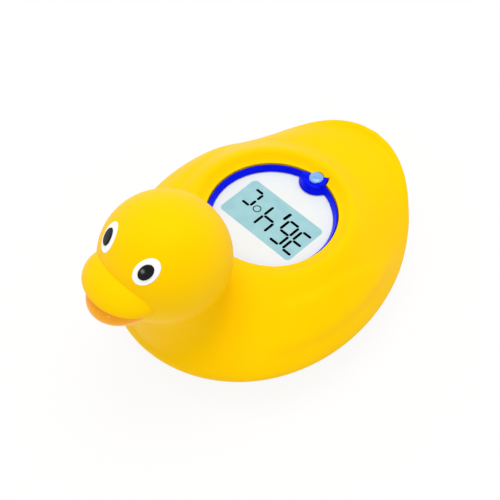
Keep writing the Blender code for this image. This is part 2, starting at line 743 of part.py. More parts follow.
def display_glass(material):
    """Display behind the panel, with a raised pane that fills the panel's window."""
    low = DISPLAY.z + GLASS_BOTTOM
    glass = slab(window_outline(GLASS_BORDER), low, low + GLASS_THICKNESS, "display_glass")
    pane_top = DISPLAY.z + PANEL_TOP - PANE_SINK
    join(glass, slab(window_outline(-CLEARANCE), low + GLASS_THICKNESS / 2, pane_top, "pane"))
    return finish(glass, material)


def display_frame(frame_material, strip_material):
    """Frame that holds the glass above the board, with the contact strip along its front."""
    bottom = DISPLAY.z + BOARD_TOP + CLEARANCE
    top = bottom + FRAME_HEIGHT
    frame = slab(window_outline(GLASS_BORDER), bottom, top, "display_frame")
    cut(frame, slab(window_outline(GLASS_BORDER - FRAME_WALL), bottom - 1 * MM, top + 1 * MM, "frame_window"))
    finish(frame, frame_material)
    half_width = WINDOW_WIDTH / 2 + GLASS_BORDER - FRAME_WALL - WINDOW_CORNER - CLEARANCE
    front = DISPLAY.y + WINDOW_CENTRE_Y - WINDOW_HEIGHT / 2 - GLASS_BORDER + FRAME_WALL + CLEARANCE
    strip = box((-half_width, front, bottom), (half_width, front + STRIP_WIDTH, top), "contact_strip")
    finish(strip, strip_material)


def circuit_board(board_material, chip_material, buzzer_material):
    board = cylinder(BOARD_RADIUS, BOARD_BOTTOM, BOARD_TOP, DISPLAY, "circuit_board", 32)
    for x, y in board_screw_places():
        cut(board, cylinder(SMALL_SCREW[0] + CLEARANCE, BOARD_BOTTOM - 1 * MM, BOARD_TOP + 1 * MM,
                            Vector((x, y, DISPLAY.z)), "hole", 8))
    finish(board, board_material)
    bottom = DISPLAY.z + BOARD_TOP + CLEARANCE
    centre_y = DISPLAY.y + WINDOW_CENTRE_Y + STRIP_WIDTH / 2
    chip = box((-CHIP_SIZE / 2, centre_y - CHIP_SIZE / 2, bottom),
               (CHIP_SIZE / 2, centre_y + CHIP_SIZE / 2, bottom + CHIP_HEIGHT), "controller_chip")
    finish(chip, chip_material)
    top = BOARD_BOTTOM - CLEARANCE
    finish(cylinder(BUZZER_RADIUS, top - BUZZER_HEIGHT, top, DISPLAY, "buzzer", 32), buzzer_material)


def module_cup(material):
    """Cup that holds the board, hung by its flange under the display ledge."""
    flange_top = LEDGE_BOTTOM - CLEARANCE
    flange_bottom = flange_top - CUP_FLANGE_THICKNESS
    outer = CUP_INNER_RADIUS + CUP_WALL
    cup = turned([(0, CUP_FLOOR_TOP - CUP_FLOOR), (outer, CUP_FLOOR_TOP - CUP_FLOOR), (outer, flange_bottom),
                  (CUP_FLANGE_RADIUS, flange_bottom), (CUP_FLANGE_RADIUS, flange_top),
                  (CUP_INNER_RADIUS, flange_top), (CUP_INNER_RADIUS, CUP_FLOOR_TOP), (0, CUP_FLOOR_TOP)],
                 DISPLAY, "module_cup", 32)
    for x, y in board_screw_places():
        post = turned([(0, CUP_FLOOR_TOP - CUP_FLOOR / 2), (2 * MM, CUP_FLOOR_TOP - CUP_FLOOR / 2),
                       (2 * MM, BOARD_BOTTOM - CLEARANCE), (0, BOARD_BOTTOM - CLEARANCE)],
                      Vector((x, y, DISPLAY.z)), "stand_off", 12)
        join(cup, post)
        cut(cup, cylinder(SMALL_SCREW[0] + CLEARANCE, BOARD_BOTTOM - 2.4 * MM, BOARD_TOP,
                          Vector((x, y, DISPLAY.z)), "pilot", 8))
    for x, y in module_screw_places():
        cut(cup, cylinder(SMALL_SCREW[0] + CLEARANCE, flange_bottom - 1 * MM, flange_top + 1 * MM,
                          Vector((x, y, DISPLAY.z)), "hole", 8))
    return finish(cup, material)


def screw(name, size, seat, length, up, place, material):
    """Pan-head screw whose head's underside lies on the seat; it points up or down."""
    shank, head, height = size
    way = 1 if up else -1
    profile = [(0, -way * height), (head * 0.7, -way * height), (head, -way * height * 0.4), (head, 0),
               (shank, 0), (shank, way * (length - shank)), (0, way * length)]
    thing = turned(profile, Vector((place[0], place[1], seat)), name, 8)
    slot_depth = height * 0.45
    end = seat - way * height
    low, high = sorted((end - way * 1 * MM, end + way * slot_depth))
    half = SCREW_SLOT / 2
    cut(thing, box((place[0] - head, place[1] - half, low), (place[0] + head, place[1] + half, high), "slot"))
    return finish(thing, material)


def module_screws(material):
    seat = DISPLAY.z + LEDGE_BOTTOM - 2 * CLEARANCE - CUP_FLANGE_THICKNESS
    for number, place in enumerate(module_screw_places(), 1):
        screw(f"module_screw_{number}", SMALL_SCREW, seat, MODULE_SCREW_LENGTH, True, place, material)
    seat = DISPLAY.z + BOARD_TOP + CLEARANCE
    for number, place in enumerate(board_screw_places(), 1):
        screw(f"board_screw_{number}", SMALL_SCREW, seat, BOARD_SCREW_LENGTH, False, place, material)


def door_outline(grow):
    return rounded_rectangle(2 * (BAY_HALF_WIDTH + DOOR_SIDE + grow), 2 * (BAY_HALF_LENGTH + DOOR_END + grow),
                             DOOR_CORNER, (0.0, BAY_CENTRE_Y))


def door_screw_places():
    return [(0.0, BAY_CENTRE_Y + end * (BAY_HALF_LENGTH + DOOR_END / 2 + 0.4 * MM)) for end in (1, -1)]


def stud_places():
    return [(CONTACT_X, BAY_CENTRE_Y + end * CONTACT_SPREAD) for end in (1, -1)]


def probe_place():
    return -CONTACT_X, BAY_CENTRE_Y


def lower_hull(material):
    """Bottom of the duck: bowl, rim with its lip, screw bosses, battery bay and seats of the metal parts."""
    hull = body_solid(0.0, SKIN_SEGMENTS, "lower_hull")
    slice_off(hull, Vector((0, 0, PARTING_Z - CLEARANCE / 2)), Vector((0, 0, 1)))
    cut(hull, body_solid(WALL, INNER_SEGMENTS, "hull_bore"))

    rim_top = PARTING_Z - CLEARANCE / 2 - 0.05 * MM
    rim_outline = level_outline(PARTING_Z - RIM_THICKNESS, WALL / 2)
    rim = slab(rim_outline, rim_top - RIM_THICKNESS, rim_top, "rim")
    seal_room = SEAL_THICKNESS + 2 * CLEARANCE
    lip_outline = level_outline(PARTING_Z, seal_room, WALL)
    join(rim, slab(lip_outline, rim_top - 0.5 * MM, rim_top + LIP_HEIGHT, "lip"))
    cut(rim, slab(level_outline(PARTING_Z, seal_room + LIP_THICKNESS, WALL), rim_top - 2 * RIM_THICKNESS,
                  rim_top + 2 * LIP_HEIGHT, "rim_bore"))
    join(hull, rim)

    solids = [box((-BAY_HALF_WIDTH - BAY_WALL, BAY_CENTRE_Y - BAY_HALF_LENGTH - BAY_WALL, WALL / 2),
                  (BAY_HALF_WIDTH + BAY_WALL, BAY_CENTRE_Y + BAY_HALF_LENGTH + BAY_WALL, BAY_TOP + BAY_WALL), "bay")]
    pad = rounded_rectangle(2 * (BAY_HALF_WIDTH + DOOR_SIDE + BAY_WALL),
                            2 * (BAY_HALF_LENGTH + DOOR_END + BAY_WALL),
                            DOOR_CORNER + BAY_WALL, (0.0, BAY_CENTRE_Y))
    solids.append(slab(pad, WALL / 3, DOOR_TOP + CLEARANCE + 2 * MM, "pad"))
    for x, y in door_screw_places():
        solids.append(cylinder(DOOR_BOSS_RADIUS, WALL / 3, DOOR_TOP + DOOR_SCREW_LENGTH,
                               Vector((x, y, 0)), "door_boss", 12))
    boss_top = WALL + STUD_BOSS_HEIGHT
    for x, y in stud_places():
        place = Vector((x, y, 0))
        solids.append(cylinder(STUD_HEAD_RADIUS + 1 * MM, WALL / 3, boss_top, place, "stud_boss", 12))
    place = Vector((*probe_place(), 0))
    solids.append(cylinder(PROBE_FLANGE_RADIUS + 1 * MM, WALL / 3, boss_top, place, "probe_boss", 14))
    bosses = []
    for x, y in hull_screw_places():
        place = Vector((x, y, 0))
        bosses.append(cylinder(HULL_BOSS_RADIUS, -1 * MM, rim_top - 0.1 * MM, place, "screw_boss", 10))
    first = bosses[0]
    join(first, *bosses[1:])
    keep_common(first, body_solid(WALL / 3, INNER_SEGMENTS, "hull_mid"))
    join(hull, first, *solids)

    cut(hull, slab(door_outline(CLEARANCE), -1 * MM, DOOR_TOP + CLEARANCE, "door_seat"))
    cut(hull, box((-BAY_HALF_WIDTH, BAY_CENTRE_Y - BAY_HALF_LENGTH, -1 * MM),
                  (BAY_HALF_WIDTH, BAY_CENTRE_Y + BAY_HALF_LENGTH, BAY_TOP), "bay_room"))
    for x, y in door_screw_places():
        cut(hull, cylinder(SMALL_SCREW[0] + CLEARANCE, -1 * MM, DOOR_TOP + DOOR_SCREW_LENGTH - 1 * MM,
                           Vector((x, y, 0)), "pilot", 8))
    for x, y in hull_screw_places():
        place = Vector((x, y, 0))
        cut(hull, cylinder(HULL_SCREW[1] + CLEARANCE, -5 * MM, screw_seat() - CLEARANCE, place,
                           "counterbore", 10))
        cut(hull, cylinder(HULL_SCREW[0] + CLEARANCE, -5 * MM, PARTING_Z + 5 * MM, place, "hole", 8))
    seat_top = STUD_HEAD + 2 * CLEARANCE
    for x, y in stud_places():
        place = Vector((x, y, 0))
        cut(hull, cylinder(STUD_HEAD_RADIUS + CLEARANCE, -1 * MM, seat_top, place, "head_seat", 16))
        cut(hull, cylinder(STUD_RADIUS + CLEARANCE, -1 * MM, 2 * PARTING_Z, place, "stud_hole", 12))
    place = Vector((*probe_place(), 0))
    cut(hull, cylinder(PROBE_FLANGE_RADIUS + CLEARANCE, -1 * MM, seat_top, place, "probe_seat", 18))
    cut(hull, cylinder(PROBE_RADIUS + CLEARANCE, -1 * MM, 2 * PARTING_Z, place, "probe_hole", 16))
    return finish(hull, material)


def screw_seat():
    """Height of the hull screws' head seats, above the bowl's skin at the screws."""
    return PARTING_Z - RIM_THICKNESS - 0.5 * MM


def hull_seal(material):
    bottom = PARTING_Z + CLEARANCE / 2
    seal = slab(level_outline(PARTING_Z, CLEARANCE, WALL), bottom, bottom + SEAL_HEIGHT, "hull_seal")
    cut(seal, slab(level_outline(PARTING_Z, CLEARANCE + SEAL_THICKNESS, WALL), bottom - 1 * MM,
                   bottom + SEAL_HEIGHT + 1 * MM, "seal_bore"))
    return finish(seal, material)


def hull_screws(material):
    seat = screw_seat() - 2 * CLEARANCE
    for number, place in enumerate(hull_screw_places(), 1):
        screw(f"hull_screw_{number}", HULL_SCREW, seat, HULL_SCREW_LENGTH, True, place, material)


def battery_door(door_material, seal_material, screw_material):
    door = slab(door_outline(0.0), DOOR_BOTTOM, DOOR_TOP, "battery_door")
    seat = DOOR_BOTTOM + DOOR_THICKNESS * 0.65
    for x, y in door_screw_places():
        place = Vector((x, y, 0))
        cut(door, cylinder(SMALL_SCREW[0] + CLEARANCE, -1 * MM, DOOR_TOP + 1 * MM, place, "hole", 8))
        cut(door, cylinder(SMALL_SCREW[1] + CLEARANCE, -1 * MM, seat, place, "counterbore", 10))
    finish(door, door_material)
    for number, place in enumerate(door_screw_places(), 1):
        screw(f"door_screw_{number}", SMALL_SCREW, seat - CLEARANCE, DOOR_SCREW_LENGTH, True, place,
              screw_material)
    outer = rounded_rectangle(2 * (BAY_HALF_WIDTH - CLEARANCE), 2 * (BAY_HALF_LENGTH - CLEARANCE), 1.5 * MM,
                              (0.0, BAY_CENTRE_Y))
    inner = rounded_rectangle(2 * (BAY_HALF_WIDTH - 1.6 * MM), 2 * (BAY_HALF_LENGTH - 1.6 * MM), 1.0 * MM,
                              (0.0, BAY_CENTRE_Y))
    bottom = DOOR_TOP + CLEARANCE
    seal = slab(outer, bottom, bottom + DOOR_SEAL, "door_seal")
    cut(seal, slab(inner, bottom - 1 * MM, bottom + DOOR_SEAL + 1 * MM, "seal_bore"))
    finish(seal, seal_material)


def lying(thing, place):
    """Lay an upright turned piece along +Y at a place."""
    thing.data.transform(Matrix.Translation(place) @ Matrix.Rotation(-math.pi / 2, 4, "X"))
    return thing


def batteries(jacket, metal):
    """Two cells side by side, nose to tail, with their springs and contact plates."""
    half = BATTERY_LENGTH / 2
    for number, side in ((1, -1), (2, 1)):
        x = side * BATTERY_PITCH / 2
        cell = turned([(0, -half), (BATTERY_RADIUS, -half), (BATTERY_RADIUS, half - BATTERY_NUB),
                       (BATTERY_NUB_RADIUS, half - BATTERY_NUB), (BATTERY_NUB_RADIUS, half), (0, half)],
                      Vector((0, 0, 0)), f"battery_{number}", 20)
        if side > 0:
            cell.data.transform(Matrix.Rotation(math.pi, 4, "X"))
        lying(cell, Vector((x, BAY_CENTRE_Y, BATTERY_Z)))
        finish(cell, jacket)

        wall_y = BAY_CENTRE_Y + side * (BAY_HALF_LENGTH - CLEARANCE - CONTACT_THICKNESS)
        cell_y = BAY_CENTRE_Y + side * half
        spring = coil(f"battery_spring_{number}", x, cell_y + side * CLEARANCE, wall_y - side * CLEARANCE)
        finish(spring, metal, 60)
    reach = BAY_HALF_LENGTH - CLEARANCE
    plate_half = BATTERY_RADIUS - 0.6 * MM
    low_z, high_z = BATTERY_Z - plate_half, BATTERY_Z + plate_half
    plates = (("contact_bridge", 1, -BATTERY_PITCH / 2 - plate_half, BATTERY_PITCH / 2 + plate_half),
              ("terminal_minus", -1, -BATTERY_PITCH / 2 - plate_half, -BATTERY_PITCH / 2 + plate_half),
              ("terminal_plus", -1, BATTERY_PITCH / 2 - plate_half, BATTERY_PITCH / 2 + plate_half))
    for name, end, left, right in plates:
        near, far = sorted((BAY_CENTRE_Y + end * reach, BAY_CENTRE_Y + end * (reach - CONTACT_THICKNESS)))
        plate = box((left, near, low_z), (right, far, high_z), name)
        finish(plate, metal)


def coil(name, x, start_y, end_y, turns=2, steps=12, sides=4):
    """Closed helical wire along Y between two ends."""
    count = turns * steps
    wire = SPRING_WIRE
    low, high = sorted((start_y, end_y))
    low += wire
    high -= wire
    loops = []
    for i in range(count + 1):
        angle = 2 * math.pi * i / steps
        centre = Vector((x + SPRING_RADIUS * math.cos(angle), low + (high - low) * i / count,
                         BATTERY_Z + SPRING_RADIUS * math.sin(angle)))
        radial = Vector((math.cos(angle), 0, math.sin(angle)))
        loop = []
        for k in range(sides):
            turn = 2 * math.pi * k / sides
            loop.append(centre + radial * (wire * math.cos(turn)) + Vector((0, wire * math.sin(turn), 0)))
        loops.append(loop)
    wire_body = stack_loops(loops, name)
    bm = bmesh.new()
    bm.from_mesh(wire_body.data)
    bmesh.ops.triangulate(bm, faces=bm.faces)
    bm.to_mesh(wire_body.data)
    bm.free()
    return wire_body


def water_parts(metal, sensor_material):
    """Studs that sense the water, and the cap with the temperature sensor in it."""
    for number, (x, y) in enumerate(stud_places(), 1):
        stud = turned([(0, CLEARANCE), (STUD_HEAD_RADIUS, CLEARANCE), (STUD_HEAD_RADIUS, CLEARANCE + STUD_HEAD),
                       (STUD_RADIUS, CLEARANCE + STUD_HEAD), (STUD_RADIUS, STUD_LENGTH), (0, STUD_LENGTH)],
                      Vector((x, y, 0)), f"water_contact_{number}", 16)
        finish(stud, metal)
    x, y = probe_place()
    inner = PROBE_RADIUS - PROBE_WALL
    floor = CLEARANCE + PROBE_WALL
    cap = turned([(0, CLEARANCE), (PROBE_FLANGE_RADIUS, CLEARANCE), (PROBE_FLANGE_RADIUS, CLEARANCE + STUD_HEAD),
                  (PROBE_RADIUS, CLEARANCE + STUD_HEAD), (PROBE_RADIUS, PROBE_HEIGHT), (inner, PROBE_HEIGHT),
                  (inner, floor), (0, floor)], Vector((x, y, 0)), "probe_cap", 20)
    finish(cap, metal)
    bottom = floor + CLEARANCE
    sensor = turned([(0, bottom), (SENSOR_RADIUS * 0.6, bottom), (SENSOR_RADIUS, bottom + SENSOR_RADIUS * 0.7),
                     (SENSOR_RADIUS, bottom + SENSOR_LENGTH), (0, bottom + SENSOR_LENGTH)],
                    Vector((x, y, 0)), "temperature_sensor", 14)
    finish(sensor, sensor_material)


def main():
    clear_scene()
    yellow = make_material("yellow_plastic", (0.95, 0.62, 0.01), 0.4)
    orange = make_material("orange_plastic", (1.0, 0.30, 0.01), 0.2)
    white = make_material("white_plastic", (0.9, 0.89, 0.92), 0.35)
    black = make_material("black_plastic", (0.01, 0.01, 0.012), 0.15)
    blue = make_material("blue_plastic", (0.01, 0.02, 0.85), 0.3)
    lens = make_material("lens_plastic", (0.25, 0.55, 0.85), 0.1)
    glass = make_material("display_grey", (0.42, 0.66, 0.70), 0.15)
    board = make_material("board_green", (0.02, 0.22, 0.08), 0.5)
    rubber = make_material("seal_rubber", (0.05, 0.05, 0.05), 0.8)
    steel = make_material("steel", (0.6, 0.6, 0.6), 0.3, 1.0)
    jacket = make_material("battery_jacket", (0.12, 0.12, 0.14), 0.4)

    upper_shell(yellow)
    lower_hull(yellow)
    lower_bill(orange)
    eyes(white, black)
    display_bezel(blue)
    display_panel(white)
    display_glass(glass)
    display_frame(white, rubber)
    lamp(lens, white)
    circuit_board(board, black, black)
    module_cup(white)
    module_screws(steel)
    hull_seal(rubber)
    hull_screws(steel)
    battery_door(yellow, rubber, steel)
    batteries(jacket, steel)
    water_parts(steel, black)


main()
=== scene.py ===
"""Looks of the floating bath duck thermometer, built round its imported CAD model.

Everything is in metres in the CAD frame: +Z up, the duck faces -Y and its left side is +X.
"""
import json
import math

import bmesh
import bpy
import numpy as np
from mathutils import Matrix, Vector


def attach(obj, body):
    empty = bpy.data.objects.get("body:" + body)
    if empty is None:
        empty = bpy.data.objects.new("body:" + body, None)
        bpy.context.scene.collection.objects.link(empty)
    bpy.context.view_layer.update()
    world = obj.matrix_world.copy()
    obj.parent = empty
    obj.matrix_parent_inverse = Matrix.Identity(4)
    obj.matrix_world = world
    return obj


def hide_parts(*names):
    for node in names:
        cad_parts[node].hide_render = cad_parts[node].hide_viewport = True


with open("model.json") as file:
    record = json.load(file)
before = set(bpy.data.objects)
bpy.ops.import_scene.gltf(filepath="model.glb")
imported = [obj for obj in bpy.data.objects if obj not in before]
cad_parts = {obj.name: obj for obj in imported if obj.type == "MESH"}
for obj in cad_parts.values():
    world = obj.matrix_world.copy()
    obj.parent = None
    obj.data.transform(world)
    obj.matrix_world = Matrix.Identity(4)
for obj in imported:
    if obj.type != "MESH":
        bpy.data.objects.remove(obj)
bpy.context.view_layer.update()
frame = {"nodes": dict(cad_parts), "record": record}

MM = 0.001
DISPLAY = Vector((0.0, 10.6 * MM, 33.0 * MM))
CLEARANCE = 0.3 * MM

# Body: the sizes of the CAD source, apart from the flare, the tail's edge, the ridge and the wing
BODY_HALF_WIDTH = 44.68 * MM
BODY_HALF_LENGTH = 55.34 * MM
BODY_CENTRE_Y = -3.24 * MM
BODY_TAPER = 0.085
WIDEST_DROP = 16.54 * MM
SHOULDER_POWER = 1.34
BOWL_POWER = 1.4
STERN_POWER = 1.287
BASE_HALF_WIDTH = 28.0 * MM
BASE_HALF_LENGTH = 34.0 * MM
WALL = 2.2 * MM
PARTING_Z = 11.0 * MM
FLARE_WIDTH = 4.6 * MM
FLARE_HEIGHT = 1.9 * MM
# The well's edge is low behind the ring and high in front of it, towards the duck's left
EDGE_SINK = 0.1 * MM
EDGE_TILT = 0.3 * MM
EDGE_FRONT = -math.pi / 4
EDGE_SETBACK = 0.4 * MM
SKIRT_TOP = -2.5 * MM
SKIRT_BOTTOM = -8.0 * MM
# Heights above the display at which the cutters for the ring, the lamp and the ear end
RING_CUT_TOP = 20 * MM
SEAT_CUT_TOP = 12 * MM
TAIL_RISE = 16.76 * MM
TAIL_LIFT = -1.92 * MM
TAIL_START = 21.74 * MM
TAIL_END = 60.87 * MM
TAIL_SPREAD = 0.222
# The tail's tip stands out by the spare width, and its round edge thins out forwards
TAIL_SPARE = 0.15 * MM
TAIL_EDGE = 1.3 * MM
TAIL_EDGE_MIN = 0.05 * MM
SCOOP_DEPTH = 1.5 * MM
LIFT_CREST = 0.5
LIFT_POWER = 0.8

# Dip and ridge along the flank: height at each share of the way from the well to the widest line,
# and the bearing at which they fade out towards the tail
RIDGE_SHARES = (0.0, 0.33, 0.64, 0.84, 1.0)
RIDGE_HEIGHTS = (0.0, -0.55 * MM, 0.1 * MM, 0.0, 0.0)
RIDGE_END = math.radians(52)
RIDGE_FADE = math.radians(24)

# Wing: bearings from the display's centre, and shares of the way from the well to the widest line
WING_HEIGHT = 0.9 * MM
WING_FRONT = math.radians(-42.0)
WING_LENGTH = math.radians(78.0)
WING_MIDDLE = 0.49
WING_HALF = 0.17
WING_TAPER_START = 0.45
WING_TIP_SHIFT = 0.17
WING_TIP_LOSS = 0.135
WING_SOFT_ABOVE = 0.12
WING_SOFT_BELOW = 0.15
WING_BLUNT_FRONT = 0.1
WING_BLUNT_TIP = 0.3

HEAD_RADIUS = 20.4 * MM
HEAD_FORWARD = 45.8 * MM
HEAD_ABOVE = 19.5 * MM
HEAD_TURN = math.radians(-2.8)
NECK_RADIUS = 15.5 * MM
NECK_FLARE = 8.0 * MM
NECK_SETBACK = 4.0 * MM
NECK_ROWS = ((11.5 * MM, 0.0), (3 * MM, 0.0), (-3 * MM, 0.15), (-8 * MM, 0.45), (-13 * MM, 1.0))
BILL_TURN = math.radians(-4.5)
BILL_HALF_WIDTH = 13.8 * MM
BILL_REACH = 6.6 * MM
BILL_HEIGHT = 8.0 * MM
BILL_ROOT = 11.5 * MM
LOWER_BILL_HALF_WIDTH = 10.6 * MM
LOWER_BILL_REACH = 7.1 * MM
LOWER_BILL_HEIGHT = 5.3 * MM
LOWER_BILL_DROP = 4.4 * MM
MOUTH_CORNER_Y = 16.2 * MM
MOUTH_RISE = 0.14
BILL_CLEARANCE = 0.1 * MM

EYE_TURN = math.radians(33.0)
EYE_RAISE = math.radians(39.6)
EYE_LEAN = math.radians(39.5)
EYE_HALF_WIDTH = 3.3 * MM
EYE_HALF_HEIGHT = 4.9 * MM
EYE_SINK = 0.95 * MM
EYE_PROUD = 0.2 * MM
PUPIL_HALF_WIDTH = 1.95 * MM
PUPIL_HALF_HEIGHT = 2.8 * MM
PUPIL_SINK = 0.2 * MM
PUPIL_PROUD = 0.6 * MM
EYE_ROUNDING = 0.25 * MM
EYE_GAP = 0.02 * MM
EYE_CUT_PROUD = 4 * MM

RING_RADIUS = 21.6 * MM
RING_SINK = 0.9 * MM
RING_LAND = 0.4 * MM
RING_FLANK = 1.2 * MM
RING_DEPTH = 3.0 * MM
PANEL_THICKNESS = 1.2 * MM
PANEL_REST = 0.6 * MM
WINDOW_WIDTH = 31.8 * MM
WINDOW_HEIGHT = 17.2 * MM
WINDOW_CENTRE_Y = -0.3 * MM
WINDOW_CORNER = 0.8 * MM
PANE_SINK = 0.1 * MM
PANE_THICKNESS = 2.4 * MM
LENS_X = 0.1 * MM
LENS_Y = 21.1 * MM
LENS_RADIUS = 2.5 * MM
LENS_EDGE = 0.35 * MM
LENS_HEIGHT = 1.1 * MM
LENS_GAP = 0.2 * MM
LENS_SIDES = 14
LENS_BEVEL = 0.12 * MM
LOBE_X = -0.3 * MM
LOBE_Y = 21.9 * MM
LOBE_RADIUS = 4.8 * MM
LOBE_FOOT = 6.2 * MM
LOBE_TOP = -0.3 * MM
EAR_START = (-4.8 * MM, 20.3 * MM)
EAR_TIP = (3.35 * MM, 23.7 * MM)
EAR_END = (4.1 * MM, 20.9 * MM)
EAR_HEIGHT = 0.3 * MM
EAR_SPREAD = 1.6
EAR_ROOT = 2.0 * MM
EAR_FOOT = 0.2 * MM

HEAD = DISPLAY + Vector((0.0, -HEAD_FORWARD, HEAD_ABOVE))
WELL_RADIUS = RING_RADIUS + CLEARANCE
CREASE_RADIUS = WELL_RADIUS + FLARE_WIDTH
PANEL_TOP = -RING_DEPTH - CLEARANCE
LENS_BOTTOM = LOBE_TOP + CLEARANCE / 2
RIM = PARTING_Z + CLEARANCE / 2

# Level of detail: rows are for the well's flare, the back and the bowl below the widest line
SKIN_SEGMENTS = 208
SKIN_ROWS = (12, 56, 24)
SKIN_VOXEL = 0.55 * MM
CAVITY_SEGMENTS = 56
CAVITY_ROWS = (4, 12, 6)
BEZEL_VOXEL = 0.16 * MM

# Smoothing of the skin: heights from the display, reach from the neck, and rounds
NECK_BLEND_TOP = 14 * MM
NECK_BLEND_BOTTOM = -20 * MM
NECK_BLEND_REACH = 31.5 * MM
NECK_ROUNDS = 90
CREASE_BLEND = 2 * MM
CREASE_ROUNDS = 10
STERN_START = 34 * MM
STERN_BOTTOM = -12 * MM
STERN_RADIUS = 38 * MM
STERN_ROUNDS = 14
SKIN_ROUNDS = 3
SKIN_WEIGHT = 0.6

# Smoothing of the ring, full on the lobe's inner side within an angle of the lamp
LOBE_SPREAD = 0.5
RING_WEIGHT = 0.25
RING_ROUNDS = 14

# Display face: corner of the fade to the panel's white, and where the fade starts and ends
FADE_CORNER = 1.8 * MM
FADE_START = FADE_CORNER - 0.3 * MM
FADE_END = FADE_CORNER + 0.3 * MM


def smooth(value):
    """Ease from 0 to 1."""
    value = min(max(value, 0.0), 1.0)
    return value * value * (3 - 2 * value)


def object_from_bmesh(bm, name):
    bmesh.ops.recalc_face_normals(bm, faces=bm.faces)
    mesh = bpy.data.meshes.new(name)
    bm.to_mesh(mesh)
    bm.free()
    thing = bpy.data.objects.new(name, mesh)
    bpy.context.scene.collection.objects.link(thing)
    return thing


def bridge(bm, lower, upper):
    """Faces between two loops, of which either may be a single point."""
    count = max(len(lower), len(upper))
    for i in range(count):
        j = (i + 1) % count
        if len(lower) == 1:
            bm.faces.new((lower[0], upper[j], upper[i]))
        elif len(upper) == 1:
            bm.faces.new((lower[i], lower[j], upper[0]))
        else:
            bm.faces.new((lower[i], lower[j], upper[j], upper[i]))


def stack_loops(loops, name="solid"):
    """Closed solid through a stack of loops, where a loop of one point closes an end as a tip."""
    bm = bmesh.new()
    rings = [[bm.verts.new(point) for point in loop] for loop in loops]
    for lower, upper in zip(rings, rings[1:]):
        bridge(bm, lower, upper)
    for ring in (rings[0], rings[-1]):
        if len(ring) > 1:
            bm.faces.new(ring)
    return object_from_bmesh(bm, name)


def turned(profile, centre, name="turned", segments=64):
    """Solid of revolution about the vertical, closed as a ring where it starts off the axis."""
    ring_closed = profile[0][0] > 0
    rows = profile + [profile[0]] if ring_closed else profile
    bm = bmesh.new()
    rings = []
    for index, (radius, height) in enumerate(rows):
        if ring_closed and index == len(rows) - 1:
            rings.append(rings[0])
        elif radius <= 0:
            rings.append([bm.verts.new(centre + Vector((0, 0, height)))])
        else:
            ring = []
            for i in range(segments):
                angle = 2 * math.pi * i / segments
                offset = Vector((radius * math.cos(angle), radius * math.sin(angle), height))
                ring.append(bm.verts.new(centre + offset))
            rings.append(ring)
    for lower, upper in zip(rings, rings[1:]):
        bridge(bm, lower, upper)
    return object_from_bmesh(bm, name)


def cylinder(radius, bottom, top, centre, name="cylinder", segments=128):
    return turned([(0, bottom), (radius, bottom), (radius, top), (0, top)], centre, name, segments)


def slab(outline, bottom, top, name="slab"):
    loops = [[(x, y, level) for x, y in outline] for level in (bottom, top)]
    return stack_loops(loops, name)


def ball(radius, centre, name="ball", segments=128, rings=64, scale=(1.0, 1.0, 1.0)):
    bm = bmesh.new()
    bmesh.ops.create_uvsphere(bm, u_segments=segments, v_segments=rings, radius=radius)
    bmesh.ops.scale(bm, vec=scale, verts=bm.verts)
    bmesh.ops.translate(bm, vec=centre, verts=bm.verts)
    return object_from_bmesh(bm, name)


def merged(things, name):
    """One object that holds the meshes of several, which may run into one another."""
    bm = bmesh.new()
    for thing in things:
        bm.from_mesh(thing.data)
        bpy.data.objects.remove(thing, do_unlink=True)
    mesh = bpy.data.meshes.new(name)
    bm.to_mesh(mesh)
    bm.free()
    result = bpy.data.objects.new(name, mesh)
    bpy.context.scene.collection.objects.link(result)
    return result


def applied(thing):
    """Bake an object's modifiers into its mesh."""
    graph = bpy.context.evaluated_depsgraph_get()
    mesh = bpy.data.meshes.new_from_object(thing.evaluated_get(graph))
    thing.modifiers.clear()
    thing.data = mesh
    return thing


def boolean(target, operation, *tools):
    for tool in tools:
        modifier = target.modifiers.new("cut", "BOOLEAN")
        modifier.operation = operation
        modifier.solver = "MANIFOLD"
        modifier.object = tool
        applied(target)
        bpy.data.objects.remove(tool, do_unlink=True)
    return target


def cut(target, *tools):
    return boolean(target, "DIFFERENCE", *tools)


def join(target, *tools):
    return boolean(target, "UNION", *tools)


def keep_common(target, *tools):
    return boolean(target, "INTERSECT", *tools)


def remeshed(thing, voxel):
    modifier = thing.modifiers.new("remesh", "REMESH")
    modifier.mode = "VOXEL"
    modifier.voxel_size = voxel
    return applied(thing)


def relaxed(thing, weights, rounds):
    """Laplacian smoothing, scaled by a weight at each point."""
    mesh = thing.data
    count = len(mesh.vertices)
    points = np.empty(count * 3)
    mesh.vertices.foreach_get("co", points)
    points = points.reshape(-1, 3)
    edges = np.empty(len(mesh.edges) * 2, dtype=np.int64)
    mesh.edges.foreach_get("vertices", edges)
    edges = edges.reshape(-1, 2)
    ends = np.concatenate([edges[:, 0], edges[:, 1]])
    others = np.concatenate([edges[:, 1], edges[:, 0]])
    degree = np.maximum(np.bincount(ends, minlength=count), 1)
    share = (0.5 * weights)[:, None]
    for _ in range(rounds):
        mean = np.stack([np.bincount(ends, points[others, k], minlength=count) for k in range(3)], axis=1)
        points = points + share * (mean / degree[:, None] - points)
    mesh.vertices.foreach_set("co", points.ravel())
    mesh.update()
    return thing


def vertex_array(thing):
    points = np.empty(len(thing.data.vertices) * 3)
    thing.data.vertices.foreach_get("co", points)
    return points.reshape(-1, 3)


def slice_off(thing, point, normal):
    """Remove what lies on the normal's side of a plane and close the cut."""
    bm = bmesh.new()
    bm.from_mesh(thing.data)
    parts = bm.verts[:] + bm.edges[:] + bm.faces[:]
    bmesh.ops.bisect_plane(bm, geom=parts, plane_co=point, plane_no=normal, clear_outer=True)
    rim = [edge for edge in bm.edges if edge.is_boundary]
    bmesh.ops.contextual_create(bm, geom=rim)
    bmesh.ops.recalc_face_normals(bm, faces=bm.faces)
    bm.to_mesh(thing.data)
    bm.free()
    return thing


